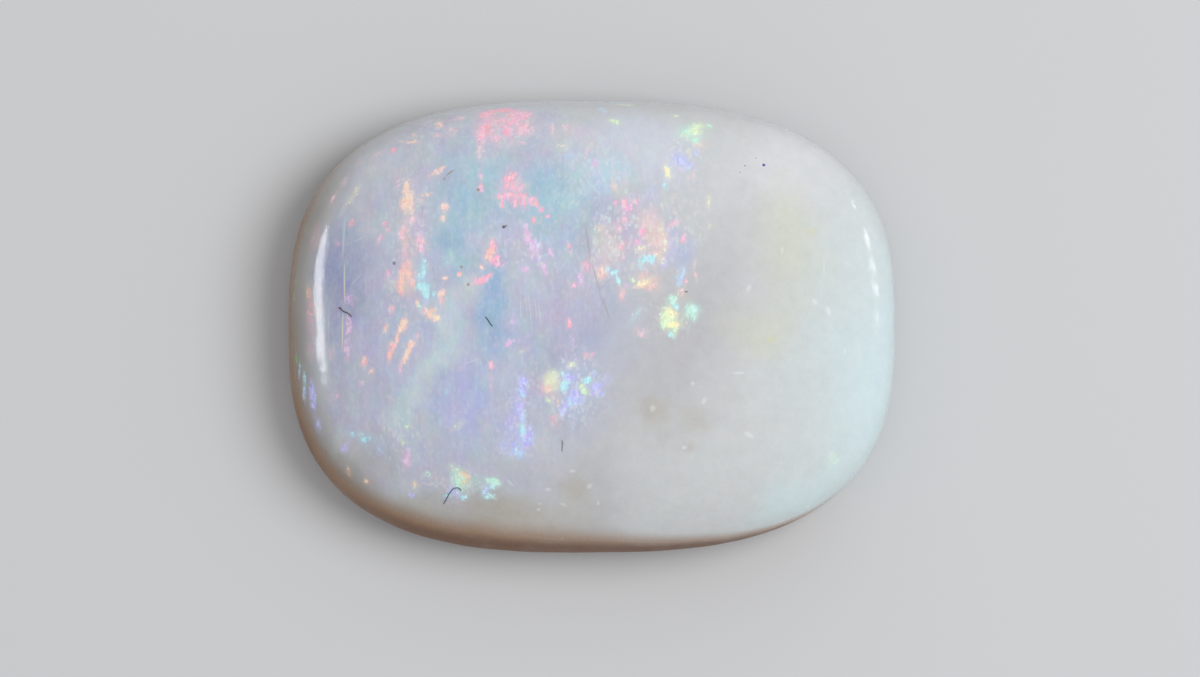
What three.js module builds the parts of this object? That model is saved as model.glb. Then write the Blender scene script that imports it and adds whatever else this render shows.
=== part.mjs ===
// Polished opal cabochon: one solid stone, cut to a cushion outline, with a low dome over a flat back.
// Millimetres, +Z up. The origin is the middle of the flat back, which the stone rests on.
import * as THREE from "three";

// Driving dimensions
const LENGTH = 16.0; // along X, across the girdle, where the stone is widest
const WIDTH = 11.92; // along Y, across the girdle

// Outline, a superellipse seen from above
const OUTLINE_POWER = 2.78; // 2 is an ellipse, and higher is nearer to a rectangle
const END_TAPER = -0.0087; // how much the half width changes from the middle to the +X end

// Section, from the back up to the top
const BEVEL = 0.38; // width and height of the bevel that keeps the back's edge from chipping
const WALL_INSET = 0.05; // how far the wall under the girdle slopes in
const GIRDLE_HEIGHT = 1.0; // height of the widest line
const SHOULDER_RISE = 2.65; // from the girdle to the top of the rounded shoulder
const DOME_RISE = 0.7; // how much the polished face swells above that

// Shoulder: 2 is an elliptic dome, and higher has a flatter face and a tighter shoulder.
// It was cut by hand, so it is tight on one side and soft on the other.
const SHOULDER_POWER = 3.4;
const SHOULDER_SWING = 1.0; // how much the power changes from the middle to either extreme
const TIGHT_SIDE = THREE.MathUtils.degToRad(40); // the direction of the tightest shoulder, from +X

// Facets
const SEGMENTS = 108; // around the outline
const BACK_RINGS = 4; // across the flat back
const WALL_RINGS = 3; // from the bevel to the girdle
const CROWN_RINGS = 30; // from the girdle to the top

// Distance from the middle to the girdle in one direction.
// The taper shifts the half width with X, so the radius is refined from the untapered one.
function girdleRadius(angle) {
  const along = Math.abs(Math.cos(angle)) / (LENGTH / 2);
  const across = Math.abs(Math.sin(angle)) / (WIDTH / 2);
  const radius = (taper) =>
    (along ** OUTLINE_POWER + (across / taper) ** OUTLINE_POWER) ** (-1 / OUTLINE_POWER);
  const endShare = (radius(1) * Math.cos(angle)) / (LENGTH / 2);
  return radius(1 + END_TAPER * endShare);
}

// Section as (share of the girdle radius, height) points, from the back's middle to the top.
// Above the girdle it is a plain quarter circle of radius 1, which shapeCrown turns into the dome.
function sectionPoints() {
  const points = [];
  const wallShare = 1 - WALL_INSET / (WIDTH / 2);
  const backShare = wallShare - BEVEL / (WIDTH / 2);
  for (let i = 0; i <= BACK_RINGS; i++) {
    points.push(new THREE.Vector2((backShare * i) / BACK_RINGS, 0));
  }
  for (let i = 0; i <= WALL_RINGS; i++) {
    const turn = ((i / WALL_RINGS) * Math.PI) / 2;
    const out = wallShare + (1 - wallShare) * Math.sin(turn);
    const up = BEVEL + ((GIRDLE_HEIGHT - BEVEL) * i) / WALL_RINGS;
    points.push(new THREE.Vector2(out, up));
  }
  for (let i = 1; i < CROWN_RINGS; i++) {
    const turn = ((i / CROWN_RINGS) * Math.PI) / 2;
    points.push(new THREE.Vector2(Math.cos(turn), GIRDLE_HEIGHT + Math.sin(turn)));
  }
  points.push(new THREE.Vector2(0, GIRDLE_HEIGHT + 1));
  return points;
}

// Turns a point of the quarter circle into one of the crown, as a new (share, height).
function shapeCrown(share, height, angle) {
  const power = SHOULDER_POWER + SHOULDER_SWING * Math.cos(angle - TIGHT_SIDE);
  const out = share ** (2 / power);
  const shoulder = SHOULDER_RISE * (height - GIRDLE_HEIGHT) ** (2 / power);
  const dome = DOME_RISE * (1 - out ** 2);
  return new THREE.Vector2(out, GIRDLE_HEIGHT + shoulder + dome);
}

// Carries a turned section of radius 1 out to the cushion outline.
function cutToCushion(geometry) {
  const position = geometry.getAttribute("position");
  for (let i = 0; i < position.count; i++) {
    const angle = Math.atan2(position.getY(i), position.getX(i));
    const section = new THREE.Vector2(Math.hypot(position.getX(i), position.getY(i)), position.getZ(i));
    if (section.y > GIRDLE_HEIGHT) {
      section.copy(shapeCrown(Math.min(section.x, 1), section.y, angle));
    }
    const reach = section.x * girdleRadius(angle);
    position.setXYZ(i, reach * Math.cos(angle), reach * Math.sin(angle), section.y);
  }
  geometry.computeVertexNormals();
  return geometry;
}

// The stone itself
function makeStone() {
  const turned = new THREE.LatheGeometry(sectionPoints(), SEGMENTS);
  turned.rotateX(Math.PI / 2);
  const milkyOpal = new THREE.MeshStandardMaterial({
    color: 0xc6cbd6,
    roughness: 0.12,
    metalness: 0,
  });
  const stone = new THREE.Mesh(cutToCushion(turned), milkyOpal);
  stone.name = "opal_cabochon";
  return stone;
}

const opal = new THREE.Group();
opal.add(makeStone());

export default opal;
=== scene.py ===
"""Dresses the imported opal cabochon: the polished stone, the lint on it and a plain stage."""

import math

import bpy
import numpy as np
from bpy.props import FloatProperty, FloatVectorProperty, PointerProperty
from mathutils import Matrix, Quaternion, Vector


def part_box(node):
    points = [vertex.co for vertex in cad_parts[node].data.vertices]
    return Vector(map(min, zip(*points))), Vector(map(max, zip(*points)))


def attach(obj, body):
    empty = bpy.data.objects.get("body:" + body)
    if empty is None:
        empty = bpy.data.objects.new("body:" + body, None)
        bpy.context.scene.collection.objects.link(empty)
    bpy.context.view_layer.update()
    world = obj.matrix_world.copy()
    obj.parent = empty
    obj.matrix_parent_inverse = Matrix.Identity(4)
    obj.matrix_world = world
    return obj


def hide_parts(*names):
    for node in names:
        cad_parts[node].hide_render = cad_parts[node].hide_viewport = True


bl_info = {
    "name": "Opal cabochon",
    "version": (1, 0, 0),
    "blender": (4, 5, 0),
    "location": "View3D > Sidebar > Opal",
    "description": "Builds a polished milky opal with play of colour, the lint on it and a plain stage",
    "category": "Add Mesh",
}

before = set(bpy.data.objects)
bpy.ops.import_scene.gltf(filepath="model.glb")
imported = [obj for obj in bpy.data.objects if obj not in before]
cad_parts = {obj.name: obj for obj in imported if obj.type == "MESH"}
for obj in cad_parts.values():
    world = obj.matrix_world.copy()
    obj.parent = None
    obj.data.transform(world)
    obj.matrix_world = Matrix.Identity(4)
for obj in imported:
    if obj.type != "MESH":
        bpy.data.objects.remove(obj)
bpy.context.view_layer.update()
NODE = "opal_cabochon"
NODE_LOW, NODE_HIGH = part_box(NODE)

MM = 0.001

# Facets of the stone: around it, and along its section from the top to the middle of the back
SEGMENTS = 480
FACE_RINGS = 124
FLANK_RINGS = 58
WALL_RINGS = 7
BEVEL_RINGS = 4
BACK_RINGS = 7
BEVEL_SWELL = 0.12


def linear(code):
    """A six-digit sRGB hex code as linear red, green and blue."""
    shares = [int(code[i : i + 2], 16) / 255 for i in (0, 2, 4)]
    return tuple(s / 12.92 if s <= 0.04045 else ((s + 0.055) / 1.055) ** 2.4 for s in shares)


def paint(name, where, code):
    """A colour property, with its default from a hex code."""
    return FloatVectorProperty(
        name=name, description=where, subtype="COLOR", size=3, min=0, max=1, default=linear(code)
    )


def length(name, what, default):
    """A length property, in metres."""
    return FloatProperty(name=name, description=what, default=default, unit="LENGTH", precision=5)


def number(name, what, default):
    """A plain number property."""
    return FloatProperty(name=name, description=what, default=default, precision=4)


def turn(name, what, degrees):
    """An angle property, with its default in degrees."""
    return FloatProperty(name=name, description=what, default=math.radians(degrees), subtype="ANGLE")


# Properties


class OpalShape(bpy.types.PropertyGroup):
    """Sizes of the stone."""

    length: length("Length", "Along X, across the girdle", NODE_HIGH.x - NODE_LOW.x)
    width: length("Width", "Along Y, across the girdle", 11.92 * MM)
    thickness: length("Thickness", "From the flat back to the top", NODE_HIGH.z - NODE_LOW.z)
    outline_power: number("Outline power", "2 is an ellipse, higher is nearer to a rectangle", 2.78)
    end_taper: number("End taper", "Change of the half width from the middle to the +X end", -0.0087)
    bevel: length("Bevel", "Width and height of the bevel round the back", 0.38 * MM)
    wall_inset: length("Wall inset", "How far the wall under the girdle slopes in", 0.05 * MM)
    girdle_height: length("Girdle height", "Height of the widest line", 1.0 * MM)
    dome_rise: length("Dome rise", "How much the face swells above the shoulder", 0.7 * MM)
    shoulder_power: number("Shoulder power", "Higher has a flatter face and a tighter shoulder", 3.4)
    shoulder_swing: number("Shoulder swing", "Change of that power to either extreme", 1.0)
    tight_side: turn("Tight side", "Direction of the tightest shoulder, from +X", 40)
    ripple: length("Polish ripple", "Depth of the waves that hand polishing left", 0.0035 * MM)


class OpalColours(bpy.types.PropertyGroup):
    """Colours of the stone."""

    potch: paint("Potch", "Plain milky body", "CBCECF")
    ice: paint("Ice", "Blue-green milk at the plain end", "C9DDE1")
    chalk: paint("Chalk", "Whitest milk at the upper plain corner", "D6D8DB")
    ash: paint("Ash", "Grey milk between the plain and the lively half", "BDBDC1")
    putty: paint("Putty", "Brown-grey clouds in the milk", "B6AFA3")
    straw: paint("Straw", "Faint yellow clouds in the milk", "D0D1B2")
    mist: paint("Mist", "Ground of the lively half", "BDC2D6")
    teal: paint("Teal", "Blue-green clouds", "A8C7D6")
    glacier: paint("Glacier", "Pale blue clouds", "C4D8E6")
    azure: paint("Azure", "Deepest blue clouds", "9ABAD6")
    dusk: paint("Dusk", "Dim blue-violet clouds near the soft end", "A0A6C8")
    lilac: paint("Lilac", "Violet-grey clouds", "BAB7D4")
    foam: paint("Foam", "Pale green-white band", "C8D8DE")
    iris: paint("Iris", "Violet-blue clouds low on the face", "B0BAE0")
    mauve: paint("Mauve", "Pink-grey clouds", "C5BACF")
    pearl: paint("Pearl", "Pale grey-violet clouds at the upper edge", "D0D4E0")
    # Painted shade: a warm grey that darkens the dim soft shoulder and the lower left
    taupe: paint("Taupe", "Warm grey of the soft shoulder", "90877F")
    host: paint("Host rock", "Brown stain low on the flank and on the back", "93622A")
    host_dark: paint("Dark host rock", "Deepest brown of that stain", "5A2F02")
    rose: paint("Rose", "Strong pink flecks", "FFB4CC")
    blush: paint("Blush", "Pale pink flecks", "F4C8D8")
    orchid: paint("Orchid", "Pink-violet flecks", "E6BEE6")
    salmon: paint("Salmon", "Orange-pink flecks", "FFC3BC")
    peach: paint("Peach", "Pale orange flecks", "FFD6C4")
    ember: paint("Ember", "Orange flecks", "F5BE9A")
    cream: paint("Cream", "Pale yellow flecks", "FAF5C4")
    lime: paint("Lime", "Yellow-green flecks", "DCF3CA")
    mint: paint("Mint", "Blue-green flecks", "C0F2DC")
    aqua: paint("Aqua", "Pale cyan flecks", "B4ECF4")
    sky: paint("Sky", "Pale blue flecks", "BAD6FC")
    violet: paint("Violet", "Violet-blue flecks", "B8B9FC")
    leaf: paint("Leaf", "Green flecks on the soft shoulder", "70C07C")
    snow: paint("Snow", "White specks and scratches", "F0F2F2")
    soot: paint("Soot", "Dark pits and dirt", "4A474C")
    rust: paint("Rust", "Brown pits and cracks", "A68768")
    ink: paint("Ink", "Blue specks", "2E3596")
    lint_red: paint("Red lint", "Red-brown fibre near the soft end", "5A3C3A")
    lint_dark: paint("Dark lint", "Dark fibre near the middle", "30323E")
    lint_blue: paint("Blue lint", "Curved fibre low on the face", "3A4E74")
    lint_grey: paint("Grey lint", "Short upright fibre", "74747E")


class OpalStage(bpy.types.PropertyGroup):
    """Floor, light and camera."""

    floor_colour: paint("Floor", "Plain pale floor", "C9CACC")
    sky_strength: number("Sky strength", "Brightness of the even light all round", 0.6)
    key_power: number("Key power", "Power of the soft light above, in watts", 0.33)
    left_power: number("Left strip power", "Power of the low strip light on the left, in watts", 0.0067)
    right_power: number("Right row power", "Power of the row of low lights on the right, in watts", 0.0034)
    camera_height: length("Camera height", "Above the girdle", 0.5)
    view_width: length("View width", "Width of the picture at the girdle", 31.69 * MM)


# Shape of the stone


def girdle_radius(shape, angle):
    """Distance from the middle to the girdle in a direction.

    It is a superellipse, and its half width changes with X by the end taper.
    """
    power = shape.outline_power
    along = np.abs(np.cos(angle)) / (shape.length / 2)
    across = np.abs(np.sin(angle)) / (shape.width / 2)
    untapered = (along**power + across**power) ** (-1 / power)
    taper = 1 + shape.end_taper * untapered * np.cos(angle) / (shape.length / 2)
    return (along**power + (across / taper) ** power) ** (-1 / power)


def shoulder_power(shape, angle):
    """Power of the shoulder's superellipse: a mean that swings once round the stone."""
    return shape.shoulder_power + shape.shoulder_swing * np.cos(angle - shape.tight_side)


def crown_height(shape, share, rise):
    """Height on the crown: the shoulder's rise, and a dome that falls with the square of the share."""
    shoulder_rise = shape.thickness - shape.girdle_height - shape.dome_rise
    return shape.girdle_height + shoulder_rise * rise + shape.dome_rise * (1 - share**2)


def face_height(shape, x, y):
    """Height of the crown over a point: share**power + rise**power is 1 along each direction's section."""
    angle = np.arctan2(y, x)
    power = shoulder_power(shape, angle)
    share = np.clip(np.hypot(x, y) / girdle_radius(shape, angle), 0, 1)
    return crown_height(shape, share, (1 - share**power) ** (1 / power))


def section_rings(shape, angle):
    """Share of the girdle radius and height of each ring in each direction, from the top to the back.

    The face steps evenly outwards and the flank evenly downwards, meeting where share and rise are
    equal. The wall bows in by a quarter sine, the bevel is a straight line with a slight swell, and
    the back is flat.
    """
    power = shoulder_power(shape, angle)[:, None]
    corner = 2 ** (-1 / power)
    face_share = corner * np.linspace(0, 1, FACE_RINGS)
    face_rise = (1 - face_share**power) ** (1 / power)
    flank_rise = corner * np.linspace(1, 0, FLANK_RINGS + 1)[1:]
    flank_share = (1 - flank_rise**power) ** (1 / power)
    crown_share = np.concatenate([face_share, flank_share], axis=1)
    crown_rise = np.concatenate([face_rise, flank_rise], axis=1)
    wall_share = 1 - shape.wall_inset / (shape.width / 2)
    back_share = wall_share - shape.bevel / (shape.width / 2)
    down = np.linspace(0, 1, WALL_RINGS + 1)[1:]
    wall = wall_share + (1 - wall_share) * np.cos(down * np.pi / 2)
    wall_height = shape.girdle_height + (shape.bevel - shape.girdle_height) * down
    inward = np.linspace(0, 1, BEVEL_RINGS + 1)[1:]
    swell = BEVEL_SWELL * np.sin(inward * np.pi)
    bevel = wall_share + (back_share - wall_share) * (inward - swell / 2)
    bevel_height = shape.bevel * (1 - inward - swell / 2)
    back = back_share * np.linspace(1, 0, BACK_RINGS + 1)[1:]
    below_share = np.concatenate([wall, bevel, back])
    below_height = np.concatenate([wall_height, bevel_height, np.zeros(BACK_RINGS)])
    columns = (len(angle), 1)
    share = np.concatenate([crown_share, np.tile(below_share, columns)], axis=1)
    height = np.concatenate(
        [crown_height(shape, crown_share, crown_rise), np.tile(below_height, columns)], axis=1
    )
    return share, np.maximum(height, 0)


def smooth_step(low, high, value):
    """0 below low and 1 above high, with a smooth S between them."""
    t = np.clip((value - low) / (high - low), 0, 1)
    return t * t * (3 - 2 * t)


def grid_normals(points):
    """Outward normals of a closed grid: the cross product of its steps along the section and round it."""
    along = np.gradient(points, axis=1)
    around = np.roll(points, -1, axis=0) - np.roll(points, 1, axis=0)
    normal = np.cross(along, around)
    return normal / np.maximum(np.linalg.norm(normal, axis=2, keepdims=True), 1e-15)


# Waves that hand polishing left: how many, their lengths in millimetres, and where they are strongest
RIPPLE_SEED = 11
RIPPLE_WAVES = 9
RIPPLE_LENGTHS = (0.8, 2.6)
TIGHT_RIPPLE = 1.2
TIGHT_RIPPLE_X = (6.2 * MM, 7.2 * MM)


def polish_ripple(points):
    """Sum of plane waves in random directions, about 1 high."""
    random = np.random.default_rng(RIPPLE_SEED)
    direction = random.normal(size=(RIPPLE_WAVES, 3))
    direction /= np.linalg.norm(direction, axis=1, keepdims=True)
    wavelength = random.uniform(*RIPPLE_LENGTHS, RIPPLE_WAVES) * MM
    phase = random.uniform(0, 2 * np.pi, RIPPLE_WAVES)
    waves = np.sin(points @ (direction * (2 * np.pi / wavelength)[:, None]).T + phase)
    return waves.sum(axis=-1) / math.sqrt(RIPPLE_WAVES)


# Chips along the girdle: direction in degrees, and height, radius and depth in millimetres
CHIPS = (
    (138.6, 1.15, 0.34, 0.060),
    (135.2, 1.3, 0.22, 0.030),
    (111.5, 1.2, 0.20, 0.022),
    (-3.4, 1.1, 0.17, 0.035),
    (-42.5, 0.9, 0.20, 0.030),
    (-47.0, 1.0, 0.26, 0.040),
    (-50.4, 0.8, 0.18, 0.030),
    (-54.8, 1.0, 0.22, 0.028),
    (-61.5, 0.7, 0.24, 0.030),
    (-128.0, 0.6, 0.30, 0.030),
    (72.0, 0.6, 0.28, 0.040),
    (18.0, 0.5, 0.24, 0.035),
)


def chip_depth(shape, points):
    """Depth of the chips: each is a shallow bowl, its depth falling with the square of the distance."""
    depth = np.zeros(points.shape[:2])
    for degrees, height, radius, deep in CHIPS:
        angle = np.radians(degrees)
        reach = girdle_radius(shape, np.array([angle]))[0]
        centre = np.array([reach * np.cos(angle), reach * np.sin(angle), height * MM])
        distance = np.linalg.norm(points - centre, axis=2) / (radius * MM)
        depth += deep * MM * np.clip(1 - distance**2, 0, None)
    return depth


# Bands along the rim: direction in degrees, width as seen from above in millimetres, and strength.
# The stain is brown host rock, and the shade is painted shade: a dim grey where the soft shoulder turns away
# from the light.
STAIN_BAND = (
    (-175, 0.3, 0.55),
    (-160, 0.45, 0.85),
    (-148, 0.6, 0.8),
    (-135, 0.85, 0.95),
    (-118, 1.05, 1.0),
    (-100, 0.88, 1.0),
    (-90, 0.78, 1.0),
    (-75, 0.62, 1.0),
    (-60, 0.42, 1.0),
    (-46, 0.18, 0.9),
    (-30, 0.05, 0.0),
    (110, 0.1, 0.0),
    (140, 0.15, 0.2),
    (160, 0.25, 0.6),
)
# Painted shade along the left and upper-left rim, where the shoulder turns away from the light
PAINTED_SHADE_BAND = (
    (-178, 0.95, 0.9),
    (-160, 1.1, 0.85),
    (-145, 1.1, 0.8),
    (-128, 0.95, 0.6),
    (-105, 0.6, 0.0),
    (110, 0.4, 0.0),
    (130, 0.6, 0.05),
    (142, 0.8, 0.2),
    (158, 1.0, 0.8),
    (172, 0.9, 0.75),
)


# Share of a band's width that stays full, and the heights in millimetres where the flank starts and is whole
RIM_CORE = 0.08
FLANK_HEIGHTS = (2.6, 0.9)
UNROLL_STEPS = 300


def rim_cover(band, angle, inset):
    """Cover of a band that starts at the rim, given each ring's inset from it in millimetres.

    Its width and strength run straight from one direction of the table to the next. It fades inwards
    with a smooth S.
    """
    directions, widths, strengths = np.array(band).T
    width = np.interp(np.degrees(angle), directions, widths, period=360)[:, None]
    strength = np.interp(np.degrees(angle), directions, strengths, period=360)[:, None]
    return strength * (1 - smooth_step(RIM_CORE, 1, inset / width))


def unroll(shape, x, y):
    """Where a point seen from above lies once the crown is rolled out flat, in millimetres.

    Its distance from the middle becomes the length along the surface from the top, added up in short steps.
    """
    steps = np.linspace(0, 1, UNROLL_STEPS)
    path_x = np.multiply.outer(steps, x)
    path_y = np.multiply.outer(steps, y)
    path_z = face_height(shape, path_x, path_y)
    rise = np.diff(path_z, axis=0)
    run = np.hypot(np.diff(path_x, axis=0), np.diff(path_y, axis=0))
    stretch = np.hypot(rise, run).sum(axis=0) / np.maximum(np.hypot(x, y), 1e-9)
    return x * stretch / MM, y * stretch / MM


# Size of the noise's table of slopes, and its height
NOISE_TABLE = 64
NOISE_GAIN = 1.5

# How noise moves clouds and flecks: waves to the millimetre, millimetres along each axis, and seed
CLOUD_CURL = (2.4, (0.1, 0.16), 21)
CLOUD_WARP = (0.6, (0.42, 0.6), 31)
FLECK_TEAR = (9.0, (0.02, 0.035), 41)
FLECK_WARP = (3.0, (0.045, 0.08), 51)

# Where the cores and edges of ovals lie, as shares of their half sizes,
# and the half size in millimetres under which a cloud counts as small
CLOUD_CORE = 0.1
SMALL_CLOUD = 0.61
FLECK_CORE = 0.25
FLECK_EDGE = 1.6
LIVELY_CORE = 0.5
SPARKLING_CORE = 0.2


def lattice_noise(places, seed):
    """Smooth random waves, about 1 long and -1 to 1 high.

    They are random slopes on a square lattice, blended by a quintic S.
    """
    random = np.random.default_rng(seed)
    heading = random.uniform(0, 2 * np.pi, (NOISE_TABLE, NOISE_TABLE))
    slopes = np.stack([np.cos(heading), np.sin(heading)], axis=2)
    cell = np.floor(places).astype(int)
    inside = places - cell
    ease = inside**3 * (inside * (inside * 6 - 15) + 10)
    total = np.zeros(len(places))
    for corner in ((0, 0), (0, 1), (1, 0), (1, 1)):
        column, row = ((cell + corner) % NOISE_TABLE).T
        weight = np.prod(np.where(np.array(corner) == 1, ease, 1 - ease), axis=1)
        total += weight * np.sum(slopes[column, row] * (inside - corner), axis=1)
    return total * NOISE_GAIN


def moved(places, scale, amount, seed):
    """Places moved by two noises, with a scale in waves to the millimetre and an amount along each axis."""
    waves = np.stack([lattice_noise(places * scale, seed), lattice_noise(places * scale, seed + 1)], axis=1)
    return places + waves * amount


def cloud_warp(places):
    """Places for the clouds: moved far by slow noise and a little by quicker noise."""
    return moved(moved(places, *CLOUD_CURL), *CLOUD_WARP)


def fleck_warp(places):
    """Places for the flecks: moved just enough to tear their edges."""
    return moved(moved(places, *FLECK_TEAR), *FLECK_WARP)


def oval_cover(shape, places, mark, core, edge=1.0):
    """Cover of one soft oval: its strength inside the core, falling to none at its edge with a smooth S.

    Core and edge are shares of the oval's half sizes.
    """
    x, y, half_width, half_length, lean, strength = mark
    off = places - np.array(unroll(shape, np.array(x * MM), np.array(y * MM)))
    tilt = math.radians(lean)
    across = (off[:, 0] * math.cos(tilt) - off[:, 1] * math.sin(tilt)) / half_width
    along = (off[:, 0] * math.sin(tilt) + off[:, 1] * math.cos(tilt)) / half_length
    return strength * (1 - smooth_step(core, edge, np.hypot(across, along)))


def joined_cover(shape, places, table, core, edge=1.0):
    """Cover of all the ovals of a table, joined by the larger."""
    cover = np.zeros(len(places))
    for mark in table:
        cover = np.maximum(cover, oval_cover(shape, places, mark, core, edge))
    return cover


def cloud_colours(shape, colours, cloud_places, fleck_places):
    """Body colour with every cloud laid over it in turn, as red, green, blue and alpha.

    A cloud that is small both ways uses the flecks' places, which are moved less.
    """
    body = np.tile(np.array(colours.potch), (len(cloud_places), 1))
    for name, *mark in CLOUDS:
        places = fleck_places if max(mark[2:4]) < SMALL_CLOUD else cloud_places
        cover = oval_cover(shape, places, mark, CLOUD_CORE)[:, None]
        body += cover * (np.array(getattr(colours, name)) - body)
    return np.concatenate([body, np.ones((len(places), 1))], axis=1)


def ring_faces(rings, segments):
    """Quads between neighbouring rings and a fan at each pole, as rows of vertex numbers.

    Vertex 0 is the top, then come the rings from the top down, and last the back's middle.
    """
    around = np.arange(segments)
    following = (around + 1) % segments
    start = 1 + np.arange(rings - 1)[:, None] * segments
    quads = np.stack(
        [start + around, start + segments + around, start + segments + following, start + following], axis=2
    ).reshape(-1, 4)
    top = np.stack([np.zeros(segments, int), 1 + around, 1 + following], axis=1)
    last = 1 + (rings - 1) * segments
    bottom = np.stack([last + around, np.full(segments, last + segments), last + following], axis=1)
    return top, quads, bottom


def pole_list(grid):
    """A grid of rings as a list of points, with the first and last ring each joined to one point."""
    body = np.swapaxes(grid[:, 1:-1], 0, 1).reshape(-1, grid.shape[2])
    return np.concatenate([grid[:1, 0], body, grid[:1, -1]])


def stone_mesh(shape, colours):
    """The stone as a mesh, with its rolled-out place, clouds, flecks and masks as attributes."""
    angle = np.arange(SEGMENTS) * 2 * np.pi / SEGMENTS
    share, height = section_rings(shape, angle)
    heading = np.stack([np.cos(angle), np.sin(angle)], axis=1)
    reach = share * girdle_radius(shape, angle)[:, None]
    points = np.concatenate([reach[:, :, None] * heading[:, None, :], height[:, :, None]], axis=2)
    step = np.linalg.norm(np.diff(points, axis=1), axis=2)
    arc = np.concatenate([np.zeros((SEGMENTS, 1)), np.cumsum(step, axis=1)], axis=1) / MM
    rolled = np.concatenate([arc[:, :, None] * heading[:, None, :], np.zeros(arc.shape + (1,))], axis=2)
    crown_rings = FACE_RINGS + FLANK_RINGS
    front_rings = crown_rings + WALL_RINGS
    ring = np.arange(share.shape[1])
    polished = 1 - smooth_step(crown_rings, front_rings, ring)
    uneven = 1 + TIGHT_RIPPLE * smooth_step(*TIGHT_RIPPLE_X, points[:, :, 0])
    waves = shape.ripple * polish_ripple(points) * polished * uneven
    points = points + grid_normals(points) * (waves - chip_depth(shape, points))[:, :, None]
    points[:, :, 2] = np.maximum(points[:, :, 2], 0)

    top, quads, bottom = ring_faces(share.shape[1] - 2, SEGMENTS)
    mesh = bpy.data.meshes.new(NODE + "_polished")
    mesh.from_pydata(pole_list(points), [], top.tolist() + quads.tolist() + bottom.tolist())
    flank = smooth_step(*FLANK_HEIGHTS, height / MM)
    underside = np.tile(smooth_step(front_rings, front_rings + BEVEL_RINGS, ring), (SEGMENTS, 1))
    inset = np.where(ring < crown_rings, (1 - share) * girdle_radius(shape, angle)[:, None] / MM, 0)
    masks = {
        "stain": rim_cover(STAIN_BAND, angle, inset),
        # painted shade along the left rim
        "shade": rim_cover(PAINTED_SHADE_BAND, angle, inset),
        "flank": flank,
        "underside": underside,
    }
    covers = {name: pole_list(mask[:, :, None]).ravel() for name, mask in masks.items()}
    places = pole_list(rolled)
    cloud_places = cloud_warp(places[:, :2])
    fleck_places = fleck_warp(places[:, :2])
    covers["lively"] = joined_cover(shape, cloud_places, LIVELY, LIVELY_CORE)
    covers["sparkling"] = joined_cover(shape, cloud_places, SPARKLING, SPARKLING_CORE)
    for name, table in FLECKS.items():
        covers["fleck_" + name] = joined_cover(shape, fleck_places, table, FLECK_CORE, FLECK_EDGE)
    for name, values in covers.items():
        mesh.attributes.new(name, "FLOAT", "POINT").data.foreach_set("value", values)
    clouds = cloud_colours(shape, colours, cloud_places, fleck_places)
    mesh.attributes.new("cloud", "FLOAT_COLOR", "POINT").data.foreach_set("color", clouds.ravel())
    mesh.attributes.new("rolled_out", "FLOAT_VECTOR", "POINT").data.foreach_set("vector", places.ravel())
    lay_out(mesh, places, pole_list(points), front_rings, len(top))
    mesh.shade_smooth()
    return mesh


# Layout of the stone's map: the crown rolled out over most of the square, and the back small in a corner
CROWN_MIDDLE = (0.5, 0.58)
CROWN_SCALE = 1 / 22.5
BACK_MIDDLE = (0.14, 0.09)
BACK_SCALE = 1 / 66


def lay_out(mesh, rolled, points, front_rings, fan):
    """Writes the map: rolled-out places for the crown and wall, and places seen from below for the back."""
    front = rolled[:, :2] * CROWN_SCALE + CROWN_MIDDLE
    back = points[:, :2] / MM * (-BACK_SCALE, BACK_SCALE) + BACK_MIDDLE
    corners = np.zeros(len(mesh.loops), int)
    mesh.loops.foreach_get("vertex_index", corners)
    front_corners = 3 * fan + 4 * SEGMENTS * (front_rings - 2)
    spots = np.where(np.arange(len(corners))[:, None] < front_corners, front[corners], back[corners])
    mesh.uv_layers.new(name="OFBake").data.foreach_set("uv", spots.ravel())


# Shader nodes


def add(tree, kind, inputs=None, **settings):
    """A new node, with its settings and inputs. An input is a value or another node's output."""
    made = tree.nodes.new(kind)
    for name, value in settings.items():
        setattr(made, name, value)
    for key, value in (inputs or {}).items():
        if isinstance(value, bpy.types.NodeSocket):
            tree.links.new(value, made.inputs[key])
        else:
            made.inputs[key].default_value = value
    return made


def maths(tree, operation, *values):
    """A Math node's result."""
    return add(tree, "ShaderNodeMath", dict(enumerate(values)), operation=operation).outputs[0]


def vector_maths(tree, operation, *values):
    """A Vector Math node's vector."""
    return add(tree, "ShaderNodeVectorMath", dict(enumerate(values)), operation=operation).outputs[0]


def ramp(tree, value, low, high, start=0.0, end=1.0):
    """A value carried from low..high to start..end with a smooth S."""
    inputs = {"Value": value, "From Min": low, "From Max": high, "To Min": start, "To Max": end}
    return add(tree, "ShaderNodeMapRange", inputs, interpolation_type="SMOOTHSTEP").outputs[0]


def blend(tree, factor, under, over, mode="MIX"):
    """A Mix node's colour."""
    inputs = {0: factor, 6: under, 7: over}
    made = add(tree, "ShaderNodeMix", inputs, data_type="RGBA", blend_type=mode, clamp_factor=True)
    return made.outputs[2]


def stretched(tree, position, scale):
    """A position scaled by its own amount along each axis."""
    return add(tree, "ShaderNodeMapping", {"Vector": position, "Scale": scale}).outputs[0]


def noise(tree, position, scale, detail=2.0, roughness=0.5):
    """A Noise Texture node."""
    inputs = {"Vector": position, "Scale": scale, "Detail": detail, "Roughness": roughness}
    return add(tree, "ShaderNodeTexNoise", inputs)


def new_group(name, inputs, outputs):
    """An empty node group with named sockets. Gives the tree, its inputs and its outputs."""
    tree = bpy.data.node_groups.new(name, "ShaderNodeTree")
    for label, kind in inputs:
        tree.interface.new_socket(label, in_out="INPUT", socket_type="NodeSocket" + kind)
    for label, kind in outputs:
        tree.interface.new_socket(label, in_out="OUTPUT", socket_type="NodeSocket" + kind)
    return tree, add(tree, "NodeGroupInput").outputs, add(tree, "NodeGroupOutput").inputs


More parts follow.
